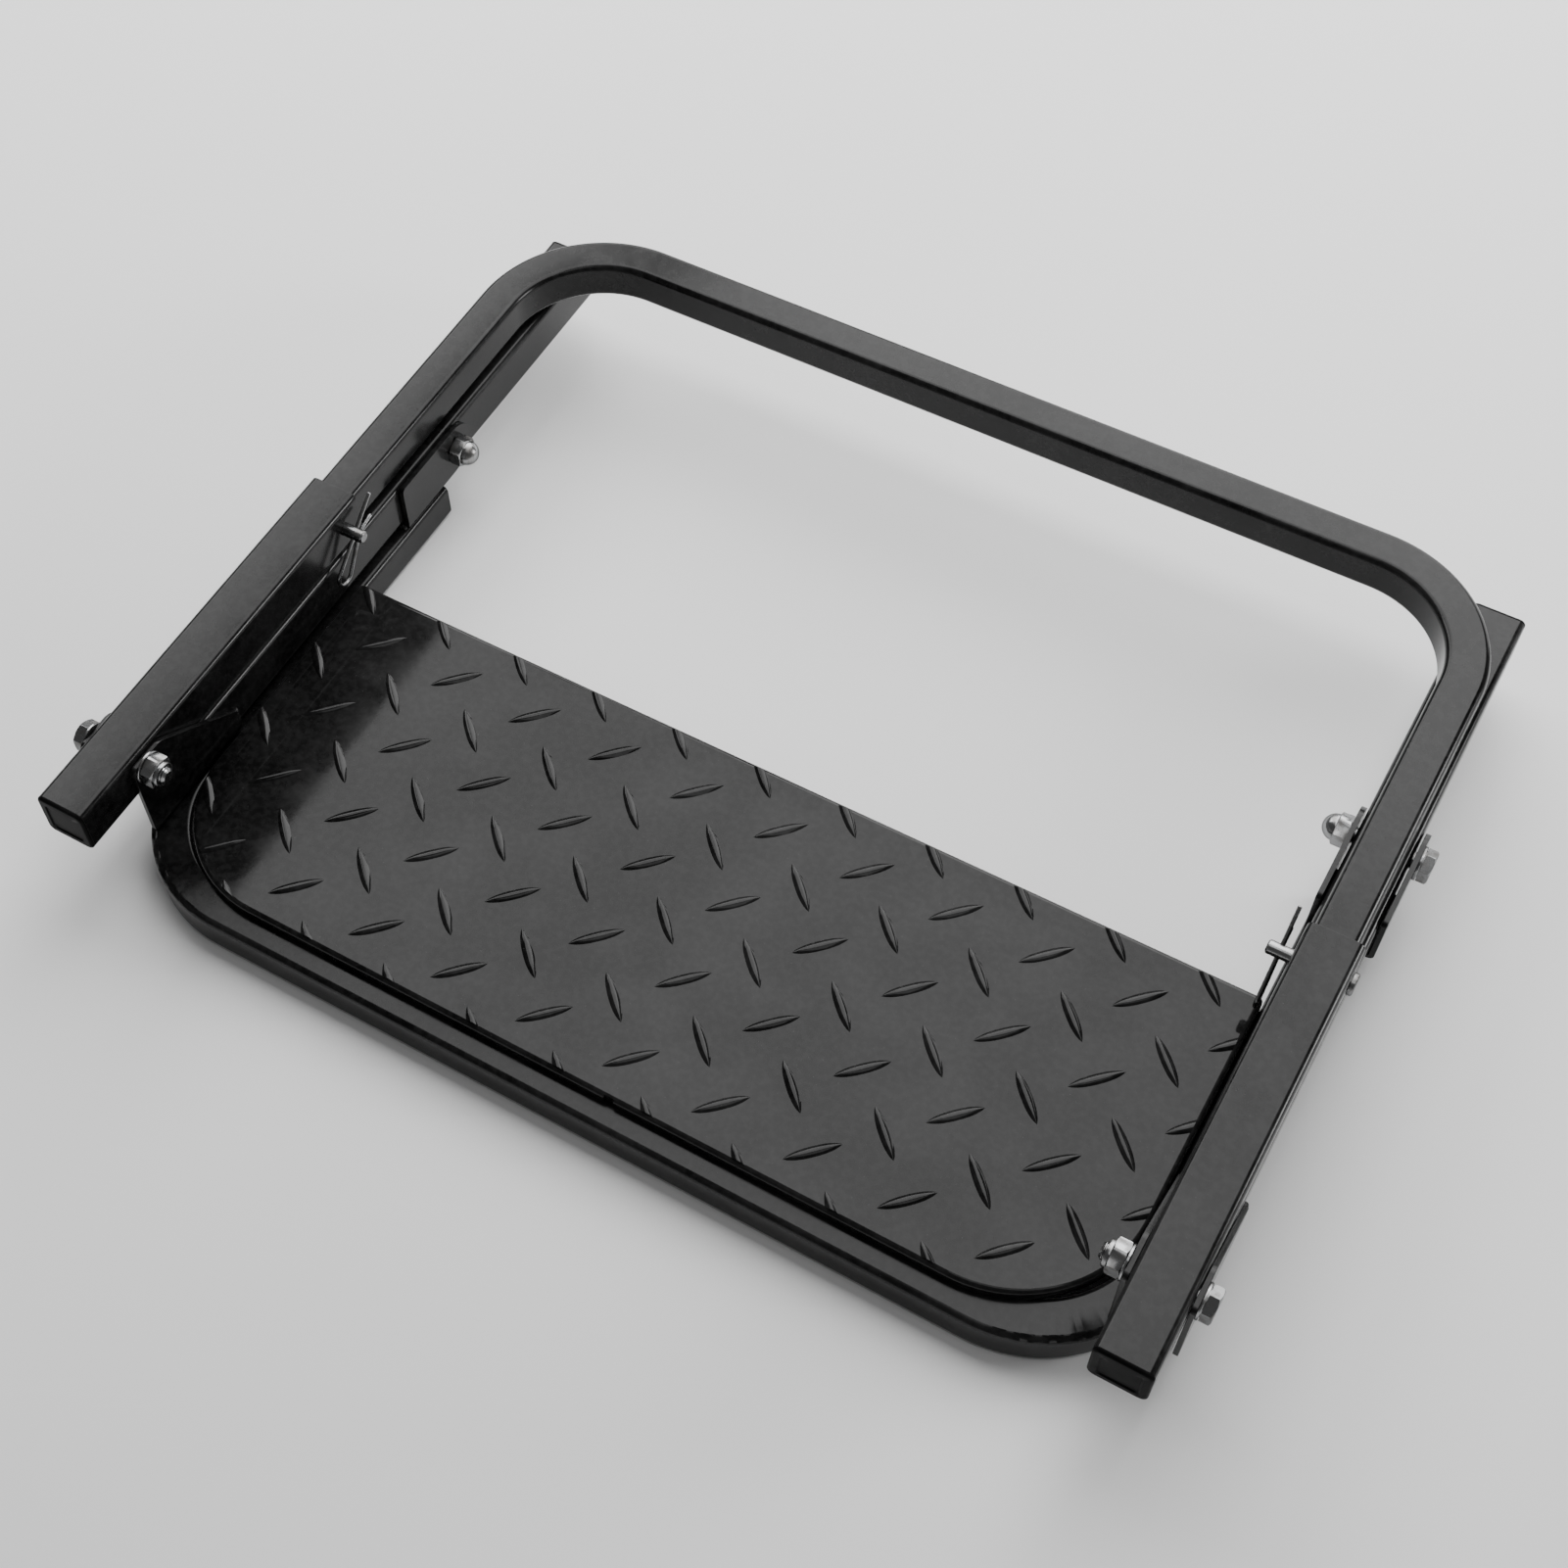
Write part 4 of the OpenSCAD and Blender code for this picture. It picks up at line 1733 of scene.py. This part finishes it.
        channel.draw_edges(along_y, Vector((0, 0, high.z - low.z)))
        channel.face_towards(lambda c, n: c.z < low.z + TOUCH, -Z_AXIS)
        channel.round_edges(along_y, self.channel_fold * MM, 5)
        channel.thicken(self.plate)
        toe_y = hinge_y - (self.leg_half + self.gap) * MM
        wall = self.plate * MM
        first = Vector((low.x + wall, toe_y - self.gap * MM, low.z - MM))
        last = Vector((high.x - wall, high.y + MM, low.z + self.channel_foot * MM))
        channel.combine(Workpiece.block("base_end", first, last))
        run, rise = hinge_y - toe_y, hinge_z - low.z
        slope = math.atan2(rise, run) - math.asin(self.ear_round * MM / math.hypot(run, rise))
        below = Vector((0, math.sin(slope), -math.cos(slope)))
        channel.trim(Vector((0, toe_y, low.z)), below)
        reach = self.ear_round / math.tan((math.pi / 2 + slope) / 2) * MM
        foot = low.z + (high.y - toe_y) * math.tan(slope)
        channel.round_edges(across(high.y, high.z), self.ear_round * MM, self.ear_steps)
        channel.round_edges(across(high.y, foot), reach * 0.995, self.ear_steps)
        channel.round_edges(across(low.y, high.z), self.channel_nose * MM, 3)
        eye = Vector(((low.x + high.x) / 2, hinge_y, hinge_z))
        channel.bore(eye, side.out, self.fasteners.hole)
        self.hand_over(channel.soften(self.edge, 40.0).smooth(), Slot.TUBE, node)

    def weld_channel(self, side: Side) -> None:
        """Weld a hinge channel to the rim, along its side and across its front.

        Args:
            side: The side of the step.
        """
        node = f"hinge_bracket_{side.label}"
        low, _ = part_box(node)
        _, rim_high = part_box("deck_rim")
        beside, below, first, last = (v * MM for v in self.side_weld)
        x, z = side.value * (rim_high.x + beside), low.z - below
        ends = (low.y + first, rim_high.y - last)
        name = f"channel_weld_{side.label}"
        under = self.welds.bead(name, *(Vector((x, y, z)) for y in ends))
        ahead, above, first, last = (v * MM for v in self.front_weld)
        y, z = low.y - ahead, low.z + above
        ends = (span(node)[0] + first, rim_high.x - last)
        front = self.welds.bead("front_bead", *(Vector((side.value * x, y, z)) for x in ends))
        self.hand_over(under.join([front]).smooth(60), Slot.TUBE)

    def make_hinge_bolt(self, side: Side) -> None:
        """Fit the step hinge's bolt, washer and domed nut.

        Args:
            side: The side of the step.
        """
        make, out = self.fasteners, side.out
        inner, outer = span(f"hinge_bracket_{side.label}")
        hinge = mm(0, *self.step_hinge)
        seat = outer + make.thick * MM
        washer, bolt, nut = (
            f"deck_{kind}_{side.label}" for kind in ("washer", "bolt", "cap_nut")
        )
        ring = make.washer_ring(washer, hinge + out * outer, out)
        self.hand_over(ring.smooth(), Slot.ZINC, washer)
        screw = make.bolt(bolt, hinge + out * seat, out, seat - inner + make.nut * MM)
        self.hand_over(screw.smooth(), Slot.ZINC, bolt)
        crown = make.domed_nut(nut, hinge + out * inner, -out)
        self.hand_over(crown.smooth(), Slot.ZINC, nut)


@dataclass(frozen=True)
class Legs(SubAssembly):
    """The two legs with their caps, arm plates and arm hinge fasteners.

    Attributes:
        tube: The tube of the legs.
        plate: The thickness of an arm plate.
        edge: The width of its broken edges.
        plate_corners: The radii of an arm plate's shoulder, heel, top front and bottom front.
        seam: How far a weld lies off the leg's flank and the plate's edge, and how far its ends
            lie from the plate's foot and the leg's middle.
    """

    body: ClassVar[Body] = Body.LEGS
    tube: TubeStock = TubeStock(32.0, 2.0, 0.3)
    plate: float = 3.0
    edge: float = 0.35
    plate_corners: tuple[float, float, float, float] = (3.0, 2.5, 3.5, 1.5)
    seam: tuple[float, float, float, float] = (0.35, 0.5, 4.0, 1.0)

    def build(self) -> None:
        """Make every piece of the legs."""
        for side in Side:
            self.make_leg(side)
            for end, facing in (("foot", Y_AXIS), ("head", -Y_AXIS)):
                node = f"leg_{end}_cap_{side.label}"
                cap = self.cap.mould(node, facing, self.tube.plug_half)
                self.hand_over(cap.smooth(), Slot.CAP, node)
            for flank in Flank:
                self.make_arm_plate(side, flank)
            self.make_hinge_bolt(side)

    def make_leg(self, side: Side) -> None:
        """Cut a leg from square tube, and drill it for the step hinge.

        Args:
            side: The side of the step.
        """
        node = f"leg_{side.label}"
        low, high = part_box(node)
        leg = self.tube.cut(node, node, Y_AXIS)
        hinge = Vector(((low.x + high.x) / 2, 0, 0)) + mm(0, *self.step_hinge)
        leg.bore(hinge, X_AXIS, self.fasteners.hole)
        self.hand_over(leg.soften(self.tube.edge).smooth(), Slot.TUBE, node)

    def make_arm_plate(self, side: Side, flank: Flank) -> None:
        """Cut an arm plate, and weld its far edge to the leg.

        Args:
            side: The side of the step.
            flank: The leg's flank that it is on.
        """
        label = f"{side.label}_{flank.value}"
        node = f"arm_plate_{label}"
        low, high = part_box(node)
        leg_low, leg_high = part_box(f"leg_{side.label}")
        mid_z = (leg_low.z + leg_high.z) / 2
        hinge = Vector(((low.x + high.x) / 2, 0, 0)) + mm(0, *self.arm_hinge)
        plate = Workpiece.block(node, low, high)
        shoulder = (hinge.y + hinge.y - low.y + self.plate * MM, high.z)
        heel = (high.y, mid_z)
        run, drop = heel[0] - shoulder[0], heel[1] - shoulder[1]
        plate.trim(Vector((0, *shoulder)), Vector((0, -drop, run)).normalized())
        corners = (shoulder, heel, (low.y, high.z), (low.y, low.z))
        for corner, radius, steps in zip(corners, self.plate_corners, (5, 4, 5, 3)):
            plate.round_edges(across(*corner), radius * MM, steps)
        plate.bore(hinge, X_AXIS, self.fasteners.hole, reach=10.0)
        self.hand_over(plate.soften(self.edge, 35.0).smooth(), Slot.TUBE, node)
        near, far = span(f"leg_{side.label}")
        beside, beyond, above, below = (v * MM for v in self.seam)
        x = side.value * (near - beside if flank is Flank.INNER else far + beside)
        ends = (Vector((x, high.y + beyond, z)) for z in (low.z + above, mid_z - below))
        bead = self.welds.bead(f"plate_weld_{label}", *ends)
        self.hand_over(bead.smooth(60), Slot.TUBE)

    def make_hinge_bolt(self, side: Side) -> None:
        """Fit the arm hinge's bolt, washers and lock nut.

        Args:
            side: The side of the step.
        """
        make, out = self.fasteners, side.out
        outer = span(f"arm_plate_{side.label}_outer")[1]
        inner = span(f"arm_plate_{side.label}_inner")[0]
        hinge = mm(0, *self.arm_hinge)
        washers, bolt, nut = (f"arm_{kind}_{side.label}" for kind in ("washers", "bolt", "nut"))
        rings = make.washer_ring(washers, hinge + out * outer, out)
        rings.join([make.washer_ring("washer", hinge + out * inner, -out)])
        self.hand_over(rings.smooth(), Slot.ZINC, washers)
        seat = outer + make.thick * MM
        screw = make.bolt(bolt, hinge + out * seat, out, seat - span(bolt)[0])
        self.hand_over(screw.smooth(), Slot.ZINC, bolt)
        collared = make.lock_nut(nut, hinge + out * (inner - make.thick * MM), -out)
        self.hand_over(collared.smooth(), Slot.ZINC, nut)


@dataclass(frozen=True)
class Arms(SubAssembly):
    """The two sleeves with their caps, lock pins and spring clips.

    Attributes:
        tube: The tube of the sleeves.
        pin: The lock pin's diameter.
        clip_wire: The clip's wire.
        clip_back: How far the clip stands from the pin's tip.
        clip_lean: The clip's lean from level, in degrees.
        clip_leg: The clip's straight leg past the pin.
        clip_loop: The middle radius of the clip's loop.
        clip_press: The middle radius of the clip's pressing bow.
        clip_rise: The angle between the clip's two legs, in degrees.
        clip_fall: The angle of its flared end.
        clip_tail: The length of its flared end.
        clip_steps: The number of rings in its loop and in its bow.
    """

    body: ClassVar[Body] = Body.ARMS
    tube: TubeStock = TubeStock(31.5, 2.75, 0.4)
    pin: float = 8.0
    clip_wire: float = 2.4
    clip_back: float = 7.0
    clip_lean: float = 41.0
    clip_leg: float = 26.0
    clip_loop: float = 6.2
    clip_press: float = 10.0
    clip_rise: float = 16.0
    clip_fall: float = 28.0
    clip_tail: float = 9.0
    clip_steps: tuple[int, int] = (26, 10)

    def build(self) -> None:
        """Make every piece of the arms."""
        for side in Side:
            self.make_sleeve(side)
            node = f"sleeve_cap_{side.label}"
            cap = self.cap.mould(node, -Y_AXIS, self.tube.plug_half)
            self.hand_over(cap.smooth(), Slot.CAP, node)
            self.make_pin(side)
            self.make_clip(side)

    def make_sleeve(self, side: Side) -> None:
        """Cut a sleeve from square tube, and drill it for the hinge bolt and the lock pin.

        Args:
            side: The side of the step.
        """
        node = f"sleeve_{side.label}"
        low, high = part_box(node)
        sleeve = self.tube.cut(node, node, Y_AXIS)
        for place, size in ((self.arm_hinge, self.fasteners.thread), (self.lock, self.pin)):
            spot = Vector(((low.x + high.x) / 2, 0, 0)) + mm(0, *place)
            sleeve.bore(spot, X_AXIS, size / 2 + self.fasteners.play)
        self.hand_over(sleeve.soften(self.tube.edge).smooth(), Slot.TUBE, node)

    def make_pin(self, side: Side) -> None:
        """Turn a lock pin, and drill it for its clip.

        Args:
            side: The side of the step.
        """
        node = f"lock_pin_{side.label}"
        tip, end = span(node)
        length = (end - tip) / MM
        half = self.pin / 2
        head = 1.6 * half
        rings = [(half - 1.0, 0.0), (half - 0.15, 0.75), (half, 1.1), (half, length - 3.0)]
        rings += [(head - 0.3, length - 3.0), (head, length - 2.7), (head, length - 0.9)]
        rings += [(head - 0.3, length - 0.35), (head - 1.0, length), (head - 3.0, length)]
        at = side.out * tip + mm(0, *self.lock)
        pin = Workpiece.drawn(node, Outline.ROUND, rings, sides=40).aim(at, side.out)
        eye = self.clip_wire / 2 + 0.15
        drill = Workpiece.drawn("drill", Outline.ROUND, [(eye, -8.0), (eye, 8.0)], sides=20)
        lean = Matrix.Rotation(math.radians(self.clip_lean) - math.pi / 2, 4, "X")
        spot = at + side.out * self.clip_back * MM
        drill.obj.matrix_world = Matrix.Translation(spot) @ lean
        self.hand_over(pin.combine(drill.settle()).smooth(30), Slot.ZINC, node)

    def make_clip(self, side: Side) -> None:
        """Bend a spring clip from round wire.

        Args:
            side: The side of the step.
        """
        node = f"r_clip_{side.label}"
        tip = span(f"lock_pin_{side.label}")[0]
        hub = side.out * (tip + self.clip_back * MM) + mm(0, *self.lock)
        lean, rise = math.radians(self.clip_lean), math.radians(self.clip_rise)
        along = Vector((0, math.cos(lean), math.sin(lean)))
        bow = self.pin / 2 + self.clip_wire / 2 + 0.2
        press_top = -bow - self.clip_press + self.clip_press * math.cos(rise)
        run = (press_top + self.clip_loop * (1 + math.cos(rise))) / math.sin(rise)
        press_in = -self.clip_press * math.sin(rise)
        back = press_in - run * math.cos(rise) - self.clip_loop * math.sin(rise)
        start = hub + along * self.clip_leg * MM
        clip = TubeRun.begin(node, self.clip_wire, 0.0, start, -along, X_AXIS)
        loop, press = self.clip_steps
        clip.straight((self.clip_leg - back) * MM)
        clip.bend(self.clip_loop * MM, 180 + self.clip_rise, loop)
        clip.straight(run * MM)
        clip.bend(self.clip_press * MM, -(self.clip_rise + self.clip_fall), press)
        clip.straight(self.clip_tail * MM).merge().fill().face_out()
        clip.soften(0.5, 60.0, 3)
        self.hand_over(clip.smooth(50), Slot.ZINC, node)


@dataclass(frozen=True)
class Hook(SubAssembly):
    """The hook: one square tube bent twice, with a row of lock holes in each leg.

    Attributes:
        tube: The tube of the hook.
        travel: How far the hook slides.
        holes: The number of lock holes.
        hole: The diameter of a lock hole.
    """

    body: ClassVar[Body] = Body.HOOK
    tube: TubeStock = TubeStock(25.0, 2.0, 0.35)
    travel: float = 80.0
    holes: int = 5
    hole: float = 8.6

    def build(self) -> None:
        """Bend and drill the hook."""
        node = "hook_frame"
        low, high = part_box(node)
        hook = self.tube.bow(node, node, Y_AXIS, -90).thicken(self.tube.wall)
        leg_x = high.x - self.tube.side / 2 * MM
        for side in Side:
            for hole in range(self.holes):
                y = (self.lock[0] - self.travel * hole / (self.holes - 1)) * MM
                spot = Vector((side.value * leg_x, y, (low.z + high.z) / 2))
                hook.bore(spot, X_AXIS, self.hole / 2, reach=20.0)
        self.hand_over(hook.soften(self.tube.edge).smooth(), Slot.TUBE, node)


def main() -> None:
    """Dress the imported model."""
    logging.basicConfig(level=logging.INFO, format="%(name)s: %(message)s")
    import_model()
    Studio().set_up()
    finishes = make_finishes()
    for assembly in (Deck, Legs, Arms, Hook):
        assembly(finishes).build()


if __name__ == "__main__":
    main()
